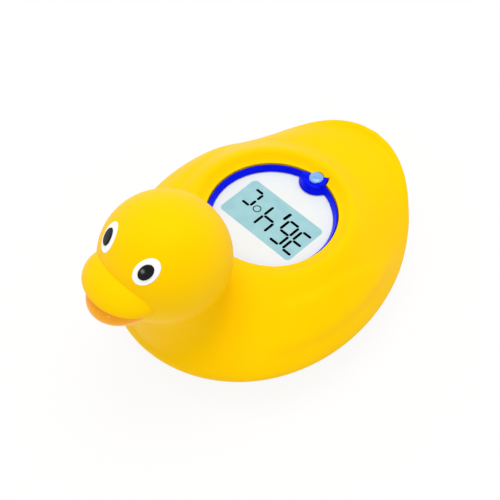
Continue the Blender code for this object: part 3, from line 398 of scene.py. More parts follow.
def shade(thing, angle=35.0):
    thing.data.shade_smooth()
    thing.data.set_sharp_from_angle(angle=math.radians(angle))
    return thing


def place(thing, material, slot, *nodes):
    """Give a piece its material and its place on the part, and hide the CAD nodes it stands for."""
    thing.data.materials.clear()
    thing.data.materials.append(material)
    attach(thing, "root")
    if nodes:
        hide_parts(*nodes)
    return thing


# Materials
def base_material(name):
    material = bpy.data.materials.new(name)
    material.use_nodes = True
    tree = material.node_tree
    return material, tree, tree.nodes["Principled BSDF"]


def noise(tree, scale, detail=2.0, roughness=0.5, name="noise"):
    where = tree.nodes.new("ShaderNodeTexCoord")
    node = tree.nodes.new("ShaderNodeTexNoise")
    node.name = name
    node.inputs["Scale"].default_value = scale
    node.inputs["Detail"].default_value = detail
    node.inputs["Roughness"].default_value = roughness
    tree.links.new(where.outputs["Object"], node.inputs["Vector"])
    return node


def remap(tree, source, low, high, start=0.3, end=0.7):
    node = tree.nodes.new("ShaderNodeMapRange")
    node.inputs["From Min"].default_value = start
    node.inputs["From Max"].default_value = end
    node.inputs["To Min"].default_value = low
    node.inputs["To Max"].default_value = high
    tree.links.new(source, node.inputs["Value"])
    return node.outputs["Result"]


def colour_mix(tree, factor, first, second):
    node = tree.nodes.new("ShaderNodeMix")
    node.data_type = "RGBA"
    node.inputs["A"].default_value = (*first, 1.0)
    node.inputs["B"].default_value = (*second, 1.0)
    tree.links.new(factor, node.inputs["Factor"])
    return node.outputs["Result"]


def plastic(name, first, second, rough=(0.3, 0.4), grain=900.0, bump=0.05, patch=60.0, coat=0.0,
            coat_rough=0.1, metallic=0.0, specular=0.5, tint=(1.0, 1.0, 1.0)):
    """Moulded surface: slow colour drift, uneven gloss and a fine grain."""
    material, tree, shader = base_material(name)
    slow = noise(tree, patch, 3.0, 0.55, "drift")
    fine = noise(tree, grain, 4.0, 0.6, "grain")
    drift = remap(tree, slow.outputs["Fac"], 0.0, 1.0)
    tree.links.new(colour_mix(tree, drift, first, second), shader.inputs["Base Color"])
    tree.links.new(remap(tree, fine.outputs["Fac"], rough[0], rough[1]), shader.inputs["Roughness"])
    relief = tree.nodes.new("ShaderNodeBump")
    relief.inputs["Strength"].default_value = bump
    relief.inputs["Distance"].default_value = 0.1 * MM
    tree.links.new(fine.outputs["Fac"], relief.inputs["Height"])
    tree.links.new(relief.outputs["Normal"], shader.inputs["Normal"])
    shader.inputs["Metallic"].default_value = metallic
    shader.inputs["Specular IOR Level"].default_value = specular
    shader.inputs["Specular Tint"].default_value = (*tint, 1.0)
    shader.inputs["Coat Weight"].default_value = coat
    shader.inputs["Coat Roughness"].default_value = coat_rough
    material.diffuse_color = (*first, 1.0)
    return material


def lens_material():
    material = plastic("lens", (0.13, 0.42, 0.95), (0.30, 0.62, 1.0), (0.08, 0.16), 1500.0, 0.04, 500.0, 0.5)
    shader = material.node_tree.nodes["Principled BSDF"]
    shader.inputs["Transmission Weight"].default_value = 0.25
    shader.inputs["IOR"].default_value = 1.49
    return material


def vector_step(tree, operation, source, value=None):
    node = tree.nodes.new("ShaderNodeVectorMath")
    node.operation = operation
    tree.links.new(source, node.inputs[0])
    if value is not None:
        node.inputs[1].default_value = value
    return node.outputs["Value"] if operation == "LENGTH" else node.outputs["Vector"]


def display_material():
    """Teal-grey display face that fades into the panel's white at its rounded edge."""
    material, tree, shader = base_material("display_face")
    where = tree.nodes.new("ShaderNodeTexCoord")
    half = (WINDOW_WIDTH / 2 - FADE_CORNER, WINDOW_HEIGHT / 2 - FADE_CORNER, 1.0)
    offset = vector_step(tree, "SUBTRACT", where.outputs["Object"], (0.0, DISPLAY.y + WINDOW_CENTRE_Y, 0.0))
    size = vector_step(tree, "ABSOLUTE", vector_step(tree, "MULTIPLY", offset, (1.0, 1.0, 0.0)))
    past = vector_step(tree, "MAXIMUM", vector_step(tree, "SUBTRACT", size, half), (0.0, 0.0, 0.0))
    fade = tree.nodes.new("ShaderNodeMapRange")
    fade.interpolation_type = "SMOOTHSTEP"
    fade.inputs["From Min"].default_value = FADE_START
    fade.inputs["From Max"].default_value = FADE_END
    fade.inputs["To Min"].default_value = 0.0
    fade.inputs["To Max"].default_value = 1.0
    tree.links.new(vector_step(tree, "LENGTH", past), fade.inputs["Value"])
    cloud = noise(tree, 260.0, 3.0, 0.6, "cloud")
    drift = remap(tree, cloud.outputs["Fac"], 0.0, 1.0)
    face = colour_mix(tree, drift, (0.255, 0.51, 0.555), (0.315, 0.575, 0.62))
    blend = tree.nodes.new("ShaderNodeMix")
    blend.data_type = "RGBA"
    blend.inputs["B"].default_value = (0.755, 0.785, 0.785, 1.0)
    tree.links.new(fade.outputs["Result"], blend.inputs["Factor"])
    tree.links.new(face, blend.inputs["A"])
    tree.links.new(blend.outputs["Result"], shader.inputs["Base Color"])
    shader.inputs["Roughness"].default_value = 0.45
    return material


def metal(name, first, second, rough=(0.22, 0.38)):
    return plastic(name, first, second, rough, 1400.0, 0.06, 300.0, metallic=1.0)


def make_materials():
    return {
        "yellow_plastic": plastic("yellow", (0.98, 0.575, 0.0), (0.99, 0.60, 0.001), (0.40, 0.50), 1300.0,
                                  0.05, 45.0, specular=0.12, tint=(1.0, 0.75, 0.08)),
        "orange_plastic": plastic("orange", (1.0, 0.37, 0.002), (1.0, 0.43, 0.004), (0.10, 0.18), 1300.0,
                                  0.03, 60.0, 0.3, 0.06, tint=(1.0, 0.7, 0.2)),
        "white_plastic": plastic("white", (0.745, 0.778, 0.775), (0.775, 0.81, 0.806), (0.36, 0.46), 1300.0,
                                 0.04, 80.0),
        "black_plastic": plastic("black", (0.001, 0.001, 0.001), (0.003, 0.003, 0.003), (0.08, 0.12), 1300.0,
                                 0.02, 90.0, specular=0.18),
        "eye_white": plastic("eye_white", (0.93, 0.925, 0.93), (0.95, 0.945, 0.95), (0.3, 0.4), 1300.0,
                             0.03, 80.0, specular=0.3),
        "ink": plastic("ink", (0.0, 0.0, 0.0), (0.002, 0.002, 0.002), (0.6, 0.7), 1300.0, 0.02, 90.0,
                       specular=0.0),
        "blue_plastic": plastic("blue", (0.0, 0.004, 0.8), (0.001, 0.008, 0.9), (0.32, 0.42), 1300.0, 0.05,
                                90.0, specular=0.3, tint=(0.1, 0.15, 1.0)),
        "lens_plastic": lens_material(),
        "display_grey": display_material(),
        "board_green": plastic("board", (0.015, 0.19, 0.07), (0.025, 0.25, 0.1), (0.4, 0.55), 1800.0,
                               0.1, 120.0),
        "seal_rubber": plastic("rubber", (0.04, 0.04, 0.04), (0.06, 0.06, 0.06), (0.65, 0.8), 1800.0,
                               0.15, 120.0),
        "steel": metal("steel", (0.56, 0.56, 0.57), (0.66, 0.66, 0.67)),
        "battery_jacket": plastic("jacket", (0.10, 0.10, 0.12), (0.15, 0.15, 0.17), (0.3, 0.4), 1300.0,
                                  0.04, 80.0),
    }


# Skin of the duck: the forms of the CAD source at a finer step, with the scene's own relief
def tail_share(angle):
    """1 at the tail's tip, easing to 0 at the flanks."""
    return smooth((math.sin(angle) - TAIL_SPREAD) / (1 - TAIL_SPREAD))


def widest_point(angle, inset):
    """Point of the widest line, which climbs to the tail, measured from the display's centre."""
    inset += (inset - TAIL_SPARE) * tail_share(angle)
    y = BODY_CENTRE_Y + (BODY_HALF_LENGTH - inset) * math.sin(angle)
    x = (BODY_HALF_WIDTH - inset) * math.cos(angle) * (1 - BODY_TAPER * math.sin(angle))
    rise = TAIL_RISE * smooth((y - TAIL_START) / (TAIL_END - TAIL_START))
    return Vector((x, y, -WIDEST_DROP + rise))


def relief(share, angle):
    """Height over the plain skin: the dip and the ridge along the flank, and the wing's lobe."""
    bearing = math.atan2(math.sin(angle), abs(math.cos(angle)))
    fade = smooth((RIDGE_END - bearing) / RIDGE_FADE)
    height = fade * float(np.interp(share, RIDGE_SHARES, RIDGE_HEIGHTS))
    along = (bearing - WING_FRONT) / WING_LENGTH
    if not 0 < along < 1:
        return height
    thin = smooth((along - WING_TAPER_START) / (1 - WING_TAPER_START))
    middle = WING_MIDDLE + WING_TIP_SHIFT * thin
    half = WING_HALF - WING_TIP_LOSS * thin
    softness = WING_SOFT_BELOW if share > middle else WING_SOFT_ABOVE
    blunt = smooth(along / WING_BLUNT_FRONT) * smooth((1 - along) / WING_BLUNT_TIP)
    return height + WING_HEIGHT * blunt * smooth((half - abs(share - middle)) / softness + 0.5)


def back_point(share, angle, inset):
    """Point of the back, from the well's crease at 0 to the widest line at 1."""
    turn = share * math.pi / 2
    across = math.sin(turn) ** (2 / SHOULDER_POWER)
    height = math.cos(turn) ** (2 / SHOULDER_POWER) if share < 1 else 0.0
    crease = Vector((CREASE_RADIUS * math.cos(angle), CREASE_RADIUS * math.sin(angle), FLARE_HEIGHT - inset))
    wide = widest_point(angle, inset)
    if share < LIFT_CREST:
        lift = smooth(share / LIFT_CREST)
    else:
        fall = (share - LIFT_CREST) / (1 - LIFT_CREST)
        lift = max(math.cos(fall * math.pi / 2), 0.0) ** LIFT_POWER
    tail = tail_share(angle)
    scoop = SCOOP_DEPTH * tail ** 3 * math.sin(math.pi * min(share / LIFT_CREST, 1.0)) ** 2
    z = wide.z + (crease.z - wide.z) * height + TAIL_LIFT * tail * lift - scoop
    x = crease.x + (wide.x - crease.x) * across
    y = crease.y + (wide.y - crease.y) * across
    bulge = relief(share, angle) if inset == 0 else 0.0
    outward = Vector((math.cos(angle) * across, math.sin(angle) * across, height))
    return DISPLAY + Vector((x, y, z)) + bulge * outward.normalized()


def bowl_point(share, angle, inset):
    """Point of the bowl, from the widest line at 0 to the flat base at 1."""
    turn = share * math.pi / 2
    power = BOWL_POWER + (STERN_POWER - BOWL_POWER) * tail_share(angle)
    out = math.cos(turn) ** (2 / power) if share < 1 else 0.0
    down = math.sin(turn) ** (2 / power)
    wide = DISPLAY + widest_point(angle, inset)
    base = Vector(((BASE_HALF_WIDTH - inset / 2) * math.cos(angle),
                   DISPLAY.y + BODY_CENTRE_Y + (BASE_HALF_LENGTH - inset / 2) * math.sin(angle), inset))
    return Vector((base.x + (wide.x - base.x) * out, base.y + (wide.y - base.y) * out,
                   wide.z + (base.z - wide.z) * down))


def body_solid(inset, segments, rows, name):
    """Body without head and neck, or its hollow when inset."""
    flare, back, bowl = rows
    angles = [2 * math.pi * i / segments for i in range(segments)]
    loops = []
    start = WELL_RADIUS + EDGE_SETBACK
    for step in range(flare):
        share = step / flare
        radius = start + (CREASE_RADIUS - start) * share
        top = DISPLAY.z - inset + FLARE_HEIGHT * smooth(share)
        loop = []
        for angle in angles:
            edge = EDGE_TILT * math.cos(angle - EDGE_FRONT) - EDGE_SINK
            loop.append((radius * math.cos(angle), DISPLAY.y + radius * math.sin(angle),
                         top + edge * (1 - smooth(share))))
        loops.append(loop)
    loops += [[back_point(step / back, a, inset) for a in angles] for step in range(back + 1)]
    loops += [[bowl_point(step / bowl, a, inset) for a in angles] for step in range(1, bowl + 1)]
    return stack_loops(loops, name)


def tail_bead(steps=91, segments=20):
    """Round edge of the tail: a bead along its outline that thins out forwards."""
    rise = Vector((0, 0, 1))
    turns = [2 * math.pi * i / segments for i in range(segments)]
    loops = []
    for step in range(steps):
        angle = math.pi * (step + 0.5) / steps
        edge = TAIL_EDGE * tail_share(angle) + TAIL_EDGE_MIN
        out = Vector((math.cos(angle), math.sin(angle), 0))
        centre = DISPLAY + widest_point(angle, 0.0) - out * edge
        loops.append([centre + (out * math.cos(turn) + rise * math.sin(turn)) * edge for turn in turns])
    return stack_loops(loops, "tail_bead")


def neck_solid(inset, segments, name):
    angles = [2 * math.pi * i / segments for i in range(segments)]
    loops = []
    for height, share in NECK_ROWS:
        radius = NECK_RADIUS + NECK_FLARE * share - inset
        centre_y = HEAD.y + NECK_SETBACK + NECK_FLARE * share
        loops.append([(radius * math.cos(angle), centre_y + radius * math.sin(angle), DISPLAY.z + height)
                      for angle in angles])
    return stack_loops(loops, name)


def bill_dome(half_width, reach, height, drop, name):
    """Egg-shaped half of the bill, before the mouth line cuts it."""
    root = HEAD_RADIUS + reach - BILL_ROOT
    centre = HEAD + Vector((0, -root, -drop))
    return ball(1.0, centre, name, 128, 64, (half_width, BILL_ROOT, height))


def slice_at_mouth(dome, offset, keep_above):
    """Cut a half of the bill along the mouth line, raised by the offset, and swing it into place."""
    normal = Vector((0, MOUTH_RISE, 1)).normalized()
    point = HEAD + Vector((0, -MOUTH_CORNER_Y, offset))
    slice_off(dome, point, -normal if keep_above else normal)
    swing = Matrix.Translation(HEAD) @ Matrix.Rotation(BILL_TURN, 4, "Z") @ Matrix.Translation(-HEAD)
    dome.data.transform(swing)
    return dome


def eye_frame(side):
    """Directions across, up and out of an eye, tilted as it sits on the head."""
    out = Vector((side * math.sin(EYE_TURN) * math.cos(EYE_RAISE),
                  -math.cos(EYE_TURN) * math.cos(EYE_RAISE), math.sin(EYE_RAISE)))
    out.rotate(Matrix.Rotation(HEAD_TURN, 3, "Z"))
    level = Vector((0, 0, 1)).cross(out).normalized()
    upright = out.cross(level)
    lean = -side * EYE_LEAN
    across = level * math.cos(lean) + upright * math.sin(lean)
    up = upright * math.cos(lean) - level * math.sin(lean)
    return across, up, out


def oval_plug(side, half_width, half_height, bottom, top, name, segments=96):
    across, up, out = eye_frame(side)
    loops = []
    for distance in (bottom, top):
        loop = []
        for i in range(segments):
            angle = 2 * math.pi * i / segments
            loop.append(HEAD + out * distance + across * (half_width * math.cos(angle))
                        + up * (half_height * math.sin(angle)))
        loops.append(loop)
    return stack_loops(loops, name)


def oval_cap(side, half_width, half_height, bottom, proud, edge, name, segments=96, rings=16):
    """Domed oval on the head with a rounded edge, closed at the bottom."""
    across, up, out = eye_frame(side)
    loops = []

    def loop_at(share, drop, floor=None):
        loop = []
        for i in range(segments):
            angle = 2 * math.pi * i / segments
            u = share * half_width * math.cos(angle)
            v = share * half_height * math.sin(angle)
            radius = HEAD_RADIUS + proud - drop
            depth = floor if floor is not None else math.sqrt(radius * radius - u * u - v * v)
            loop.append(HEAD + out * depth + across * u + up * v)
        return loop

    loops.append(loop_at(1.0, 0.0, HEAD_RADIUS - bottom))
    for step in range(7):
        turn = math.pi / 2 * step / 6
        share = 1.0 - edge / half_width * (1 - math.cos(turn))
        loops.append(loop_at(share, edge * (1 - math.sin(turn))))
    inner = 1.0 - edge / half_width
    for step in range(1, rings):
        loops.append(loop_at(inner * (1 - step / rings), 0.0))
    loops.append([HEAD + out * (HEAD_RADIUS + proud)])
    return stack_loops(loops, name)


def ear_outline(grow):
    """Plan of the pointed ear by the lamp, grown by a clearance for its seat."""
    inside = RING_RADIUS - EAR_ROOT
    points = [EAR_START, EAR_TIP, EAR_END]
    middle = Vector((sum(p[0] for p in points) / 3, sum(p[1] for p in points) / 3))
    outline = []
    for x, y in points:
        away = Vector((x, y)) - middle
        away = away.normalized() * (away.length + grow * EAR_SPREAD)
        outline.append((middle.x + away.x, DISPLAY.y + middle.y + away.y))
    for x, y in (EAR_END, EAR_START):
        radial = Vector((x, y)).normalized() * inside
        outline.append((radial.x, DISPLAY.y + radial.y))
    return outline


def ramp(distance, width):
    """0 up to a distance of nothing, and 1 from the width on, for arrays."""
    return np.clip(distance / width, 0, 1)


def relax_skin(skin):
    """Blend the neck into the body, soften the well's crease and the tail, and take out the voxel steps."""
    points = vertex_array(skin)
    height = points[:, 2] - DISPLAY.z
    reach = np.hypot(points[:, 0], points[:, 1] - (HEAD.y + NECK_SETBACK))
    level = ramp(NECK_BLEND_TOP - height, 5 * MM) * ramp(height - NECK_BLEND_BOTTOM, 6 * MM)
    near = ramp(NECK_BLEND_REACH - reach, 6 * MM)
    relaxed(skin, level * near, NECK_ROUNDS)

    around = np.hypot(points[:, 0], points[:, 1] - DISPLAY.y)
    crease = np.clip(1.5 - np.abs(around - CREASE_RADIUS) / CREASE_BLEND, 0, 1) * (height > -6 * MM)
    stern = ramp(points[:, 1] - STERN_START, 8 * MM) * ramp(height - STERN_BOTTOM, 4 * MM)
    relaxed(skin, np.maximum(crease, stern * (around > CREASE_RADIUS + 4 * MM)), CREASE_ROUNDS)
    relaxed(skin, stern * ramp(around - STERN_RADIUS, 4 * MM), STERN_ROUNDS)
    relaxed(skin, np.full(len(points), SKIN_WEIGHT), SKIN_ROUNDS)


def duck_skin(material):
    """Upper shell: one skin over body, neck, head and tail, hollowed and cut for what sits in it."""
    body = body_solid(0.0, SKIN_SEGMENTS, SKIN_ROWS, "body")
    neck = neck_solid(0.0, 96, "neck")
    head = ball(HEAD_RADIUS, HEAD, "head", 160, 80)
    skin = remeshed(merged([body, neck, head, tail_bead()], "duck_skin"), SKIN_VOXEL)
    relax_skin(skin)
    slice_off(skin, Vector((0, 0, RIM)), Vector((0, 0, -1)))
    bill = bill_dome(BILL_HALF_WIDTH, BILL_REACH, BILL_HEIGHT, 0.0, "bill")
    join(skin, slice_at_mouth(bill, CLEARANCE / 2, True))

    cut(skin, body_solid(WALL, CAVITY_SEGMENTS, CAVITY_ROWS, "cavity"))
    cut(skin, neck_solid(WALL, 32, "neck_bore"), ball(HEAD_RADIUS - WALL, HEAD, "head_bore", 32, 16))
    cut(skin, cylinder(WELL_RADIUS, SKIRT_BOTTOM, RING_CUT_TOP, DISPLAY, "ring_seat", 192))
    cut(skin, slab(ear_outline(CLEARANCE), DISPLAY.z - RING_DEPTH, DISPLAY.z + SEAT_CUT_TOP, "ear_seat"))
    lens_centre = DISPLAY + Vector((LENS_X, LENS_Y, 0))
    cut(skin, cylinder(LENS_RADIUS + LENS_GAP, LENS_BOTTOM - CLEARANCE, SEAT_CUT_TOP, lens_centre,
                       "lens_seat", 64))
    for side in (1, -1):
        cut(skin, oval_plug(side, EYE_HALF_WIDTH + EYE_GAP, EYE_HALF_HEIGHT + EYE_GAP,
                            HEAD_RADIUS - EYE_SINK, HEAD_RADIUS + EYE_CUT_PROUD, "eye_seat"))
    skirt = [(WELL_RADIUS, SKIRT_BOTTOM), (WELL_RADIUS + WALL, SKIRT_BOTTOM),
             (WELL_RADIUS + WALL, SKIRT_TOP), (WELL_RADIUS, SKIRT_TOP)]
    join(skin, turned(skirt, DISPLAY, "well_wall", 128))
    shade(skin, 32)
    return place(skin, material, "yellow_plastic", "upper_shell")


def lower_bill(material):
    bill = bill_dome(LOWER_BILL_HALF_WIDTH, LOWER_BILL_REACH, LOWER_BILL_HEIGHT, LOWER_BILL_DROP, "lower_lip")
    slice_at_mouth(bill, -CLEARANCE / 2, False)
    cut(bill, ball(HEAD_RADIUS - BILL_CLEARANCE, HEAD, "head_clear", 160, 80))
    shade(bill, 40)
    return place(bill, material, "orange_plastic", "lower_bill")


def eyes(white, black):
    for side, label in ((1, "left"), (-1, "right")):
        eye = oval_cap(side, EYE_HALF_WIDTH, EYE_HALF_HEIGHT, EYE_SINK, EYE_PROUD, EYE_ROUNDING,
                       "eye_white_" + label)
        place(shade(eye), white, "white_plastic", "eye_" + label)
        pupil = oval_cap(side, PUPIL_HALF_WIDTH, PUPIL_HALF_HEIGHT, PUPIL_SINK, PUPIL_PROUD, EYE_ROUNDING,
                         "pupil_dome_" + label)
        place(shade(pupil), black, "black_plastic", "pupil_" + label)


def bezel(material):
    """Ring with its lobe and pointed ear, remeshed so that every edge is softly rounded."""
    flank_top = RING_RADIUS - RING_LAND
    foot = flank_top - RING_FLANK
    ring = turned([(foot, -RING_DEPTH), (RING_RADIUS, -RING_DEPTH), (RING_RADIUS, -RING_SINK),
                   (flank_top, -RING_SINK)], DISPLAY, "ring", 256)
    lens_place = DISPLAY + Vector((LENS_X, LENS_Y, 0))
    lobe_place = DISPLAY + Vector((LOBE_X, LOBE_Y, 0))
    lobe = turned([(0, -RING_DEPTH), (LOBE_FOOT, -RING_DEPTH), (LOBE_RADIUS, LOBE_TOP), (0, LOBE_TOP)],
                  lobe_place, "lobe", 96)
    keep_common(lobe, cylinder(RING_RADIUS, -2 * RING_DEPTH, RING_DEPTH, DISPLAY, "ring_edge", 256))
    ear = slab(ear_outline(0.0), DISPLAY.z - RING_DEPTH + EAR_FOOT, DISPLAY.z + EAR_HEIGHT, "ear")
    ring = remeshed(merged([ring, lobe, ear], "display_ring"), BEZEL_VOXEL)
    points = vertex_array(ring)
    away = np.hypot(points[:, 0] - lens_place.x, points[:, 1] - lens_place.y)
    angle = np.arctan2(points[:, 1] - DISPLAY.y, points[:, 0])
    radius = np.hypot(points[:, 0], points[:, 1] - DISPLAY.y)
    inner = (radius < RING_RADIUS - RING_LAND) & (np.abs(angle - math.pi / 2) < LOBE_SPREAD)
    relaxed(ring, np.where(inner & (away > LENS_RADIUS), 1.0, RING_WEIGHT), RING_ROUNDS)
    shade(ring, 60)
    return place(ring, material, "blue_plastic", "display_bezel")


def lens(material):
    """Faceted dome of the lamp."""
    centre = DISPLAY + Vector((LENS_X, LENS_Y, LENS_BOTTOM))
    rows = [(0, 0.0), (LENS_RADIUS, 0.0), (LENS_RADIUS, LENS_EDGE)]
    steps = 3
    for step in range(1, steps):
        turn = math.pi / 2 * step / steps
        rows.append((LENS_RADIUS * math.cos(turn), LENS_EDGE + (LENS_HEIGHT - LENS_EDGE) * math.sin(turn)))
    rows.append((0, LENS_HEIGHT))
    dome = turned(rows, centre, "lens_dome", LENS_SIDES)
    modifier = dome.modifiers.new("soft", "BEVEL")
    modifier.width = LENS_BEVEL
    modifier.segments = 2
    modifier.limit_method = "ANGLE"
    modifier.angle_limit = math.radians(10)
    applied(dome)
    shade(dome, 14)
    return place(dome, material, "lens_plastic", "lamp_lens")


def rounded_rectangle(width, length, corner, centre, steps=8):
    points = []
    for quarter in range(4):
        sign_x = 1 if quarter in (0, 3) else -1
        sign_y = 1 if quarter in (0, 1) else -1
        for step in range(steps + 1):
            angle = math.pi / 2 * (quarter + step / steps)
            points.append((centre[0] + sign_x * (width / 2 - corner) + corner * math.cos(angle),
                           centre[1] + sign_y * (length / 2 - corner) + corner * math.sin(angle)))
    return points


def window_outline():
    return rounded_rectangle(WINDOW_WIDTH, WINDOW_HEIGHT, WINDOW_CORNER, (0.0, DISPLAY.y + WINDOW_CENTRE_Y))


def panel(material):
    plate = cylinder(WELL_RADIUS - PANEL_REST, PANEL_TOP - PANEL_THICKNESS, PANEL_TOP, DISPLAY,
                     "panel_plate", 192)
    low = DISPLAY.z + PANEL_TOP
    cut(plate, slab(window_outline(), low - 2 * MM, low + 1 * MM, "window"))
    return place(shade(plate), material, "white_plastic", "display_panel")


def display(material):
    low = DISPLAY.z + PANEL_TOP
    face = slab(window_outline(), low - PANE_SINK - PANE_THICKNESS, low - PANE_SINK, "display_face")
    place(shade(face), material, "display_grey", "display_glass")


SEGMENT_WIDTH = 0.95 * MM
SEGMENT_GAP = 0.22 * MM
INK_THICKNESS = 0.02 * MM

# Bars of a seven-part digit as (start, end) in half widths and half heights, top towards the head
BARS = {
    "a": ((-1, 1), (1, 1)),
    "b": ((1, 1), (1, 0)),
    "c": ((1, 0), (1, -1)),
    "d": ((-1, -1), (1, -1)),
    "e": ((-1, 0), (-1, -1)),
    "f": ((-1, 1), (-1, 0)),
    "g": ((-1, 0), (1, 0)),
}

# Digits as (bars, centre x, centre y, half width, half height), measured from the display's centre
DIGITS = (
    ("abcdg", 12.9, -1.5, 2.05, 4.85),
    ("acdefg", 6.9, -1.15, 2.15, 4.9),
    ("bcfg", -0.6, -0.7, 2.4, 4.95),
    ("adef", -10.95, 2.1, 1.85, 3.35),
)
POINT_BAR = ((3.15, 6.2), (2.9, 2.4))
POINT_WIDTH = SEGMENT_WIDTH * 1.2
DEGREE_RING = (-6.47, -0.35, 1.28)
DEGREE_HALF_WIRE = 0.17 * MM
BAR_TIP = 0.42


def bar_outline(start, end, width, shorten):
    """Plan of one bar with pointed ends."""
    start = Vector(start)
    end = Vector(end)
    along = (end - start).normalized()
    side = Vector((-along.y, along.x)) * (width / 2)
    start = start + along * shorten
    end = end - along * shorten
    tip = along * (width * BAR_TIP)
    return [start, start + tip + side, end - tip + side, end, end - tip - side, start + tip - side]


def digits(material):
    """The reading, as thin dark bars on the display face."""
    level = DISPLAY.z + PANEL_TOP - PANE_SINK
    bm = bmesh.new()

    def add_prism(outline):
        lower = [bm.verts.new((p[0], p[1], level)) for p in outline]
        upper = [bm.verts.new((p[0], p[1], level + INK_THICKNESS)) for p in outline]
        bridge(bm, lower, upper)
        bm.faces.new(lower)
        bm.faces.new(upper)

    for bars, x, y, half_width, half_height in DIGITS:
        for bar in bars:
            ends = []
            for across, up in BARS[bar]:
                ends.append((x * MM - across * half_width * MM, DISPLAY.y + y * MM - up * half_height * MM))
            add_prism(bar_outline(ends[0], ends[1], SEGMENT_WIDTH, SEGMENT_GAP))
    start, end = [(x * MM, DISPLAY.y + y * MM) for x, y in POINT_BAR]
    add_prism(bar_outline(start, end, POINT_WIDTH, 0.0))

    x, y, radius = DEGREE_RING
    count = 40
    inner = radius * MM - DEGREE_HALF_WIRE
    outer = radius * MM + DEGREE_HALF_WIRE
    centre = Vector((x * MM, DISPLAY.y + y * MM, level))
    rings = []
    for r, z in ((inner, 0.0), (outer, 0.0), (outer, INK_THICKNESS), (inner, INK_THICKNESS)):
        ring = []
        for i in range(count):
            angle = 2 * math.pi * i / count
            ring.append(bm.verts.new(centre + Vector((r * math.cos(angle), r * math.sin(angle), z))))
        rings.append(ring)
    for k in range(4):
        bridge(bm, rings[k], rings[(k + 1) % 4])
    reading = object_from_bmesh(bm, "display_reading")
    return place(reading, material, "black_plastic")


def carried_nodes(materials):
    """Materials of the CAD nodes that stay as they are."""
    for part in frame["record"]["subparts"]:
        node = frame["nodes"][part["node"]]
        node.data.materials.clear()
        node.data.materials.append(materials[part["material_slot"]])


# Camera fitted to the photo, with its focal length in pixels
CAMERA_AZIMUTH = math.radians(45.1)
CAMERA_ELEVATION = math.radians(53.2)
CAMERA_DISTANCE = 0.400
CAMERA_TARGET = DISPLAY + Vector((0.0, -10.1 * MM, -10.9 * MM))
FOCAL_PIXELS = 1209.5
PICTURE_PIXELS = 500
SENSOR_WIDTH = 36.0

# Light and floor, of which a share is seen as plain white while the rest keeps the shadow
WORLD_LIGHT = 0.75
LIGHT_CENTRE = Vector((0, 0, 0.03))
FLOOR_WHITE = 0.9
FLOOR_COLOUR = (0.86, 0.86, 0.86, 1.0)
FLOOR_RADIUS = 1.5
FLOOR_DROP = 0.05 * MM


def camera_axes(azimuth, elevation):
    back = Vector((math.sin(azimuth) * math.cos(elevation), -math.cos(azimuth) * math.cos(elevation),
                   math.sin(elevation)))
    right = Vector((math.cos(azimuth), math.sin(azimuth), 0.0))
    return right, back.cross(right), back


def aim(thing, centre, azimuth, elevation, distance):
    right, up, back = camera_axes(azimuth, elevation)
    turn = Matrix((right, up, back)).transposed().to_4x4()
    thing.matrix_world = Matrix.Translation(centre + back * distance) @ turn


def make_camera():
    data = bpy.data.cameras.new("camera")
    data.sensor_width = SENSOR_WIDTH
    data.lens = FOCAL_PIXELS / PICTURE_PIXELS * SENSOR_WIDTH
    data.clip_start = 0.01
    camera = bpy.data.objects.new("camera", data)
    bpy.context.scene.collection.objects.link(camera)
    aim(camera, CAMERA_TARGET, CAMERA_AZIMUTH, CAMERA_ELEVATION, CAMERA_DISTANCE)
    bpy.context.scene.camera = camera


def area_light(name, azimuth, elevation, distance, size, power):
    data = bpy.data.lights.new(name, "AREA")
    data.shape = "DISK"
    data.size = size
    data.energy = power
    light = bpy.data.objects.new(name, data)
    bpy.context.scene.collection.objects.link(light)
    aim(light, LIGHT_CENTRE, math.radians(azimuth), math.radians(elevation), distance)


def seen_directly(tree):
    """1 for what the camera sees, also in a reflection or through the lens, and 0 for light on the object."""
    path = tree.nodes.new("ShaderNodeLightPath")
    direct = path.outputs["Is Camera Ray"]
    for name in ("Is Glossy Ray", "Is Transmission Ray"):
        either = tree.nodes.new("ShaderNodeMath")
        either.operation = "MAXIMUM"
        tree.links.new(direct, either.inputs[0])
        tree.links.new(path.outputs[name], either.inputs[1])
        direct = either.outputs["Value"]
    return direct


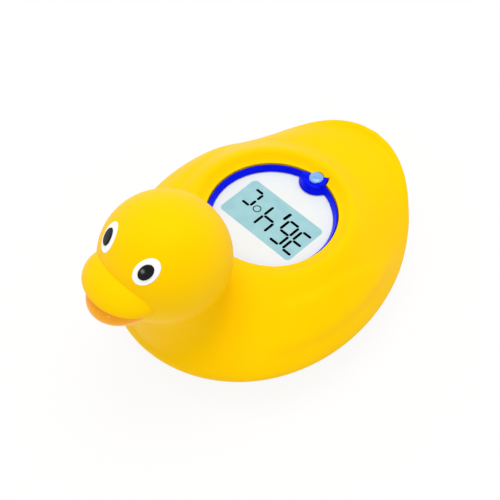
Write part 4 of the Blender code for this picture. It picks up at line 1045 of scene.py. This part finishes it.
def studio():
    """White floor and background with an even light, strongest from above."""
    world = bpy.data.worlds.new("studio")
    world.use_nodes = True
    bpy.context.scene.world = world
    tree = world.node_tree
    tree.nodes.clear()
    around = tree.nodes.new("ShaderNodeBackground")
    around.inputs["Color"].default_value = (1.0, 1.0, 1.0, 1.0)
    around.inputs["Strength"].default_value = WORLD_LIGHT
    seen = tree.nodes.new("ShaderNodeBackground")
    seen.inputs["Color"].default_value = (1.0, 1.0, 1.0, 1.0)
    seen.inputs["Strength"].default_value = 1.0
    pick = tree.nodes.new("ShaderNodeMixShader")
    out = tree.nodes.new("ShaderNodeOutputWorld")
    tree.links.new(seen_directly(tree), pick.inputs["Fac"])
    tree.links.new(around.outputs["Background"], pick.inputs[1])
    tree.links.new(seen.outputs["Background"], pick.inputs[2])
    tree.links.new(pick.outputs["Shader"], out.inputs["Surface"])

    area_light("top", azimuth=225.0, elevation=86.0, distance=0.8, size=0.6, power=3.3)
    area_light("glint", azimuth=10.0, elevation=24.0, distance=0.6, size=0.06, power=0.1)

    bm = bmesh.new()
    bmesh.ops.create_circle(bm, cap_ends=True, radius=FLOOR_RADIUS, segments=64)
    floor = object_from_bmesh(bm, "floor")
    material, tree, shader = base_material("floor_white")
    shader.inputs["Base Color"].default_value = FLOOR_COLOUR
    shader.inputs["Roughness"].default_value = 0.9
    shader.inputs["Specular IOR Level"].default_value = 0.1
    white = tree.nodes.new("ShaderNodeEmission")
    white.inputs["Color"].default_value = (1.0, 1.0, 1.0, 1.0)
    white.inputs["Strength"].default_value = 1.0
    share = remap(tree, seen_directly(tree), 0.0, FLOOR_WHITE, 0.0, 1.0)
    pick = tree.nodes.new("ShaderNodeMixShader")
    tree.links.new(share, pick.inputs["Fac"])
    tree.links.new(shader.outputs["BSDF"], pick.inputs[1])
    tree.links.new(white.outputs["Emission"], pick.inputs[2])
    tree.links.new(pick.outputs["Shader"], tree.nodes["Material Output"].inputs["Surface"])
    floor.data.materials.append(material)
    floor.location.z = -FLOOR_DROP


def main():
    materials = make_materials()
    carried_nodes(materials)
    duck_skin(materials["yellow_plastic"])
    lower_bill(materials["orange_plastic"])
    eyes(materials["eye_white"], materials["black_plastic"])
    bezel(materials["blue_plastic"])
    lens(materials["lens_plastic"])
    panel(materials["white_plastic"])
    display(materials["display_grey"])
    digits(materials["ink"])
    make_camera()
    studio()
    bpy.context.scene.view_settings.view_transform = "Standard"


main()
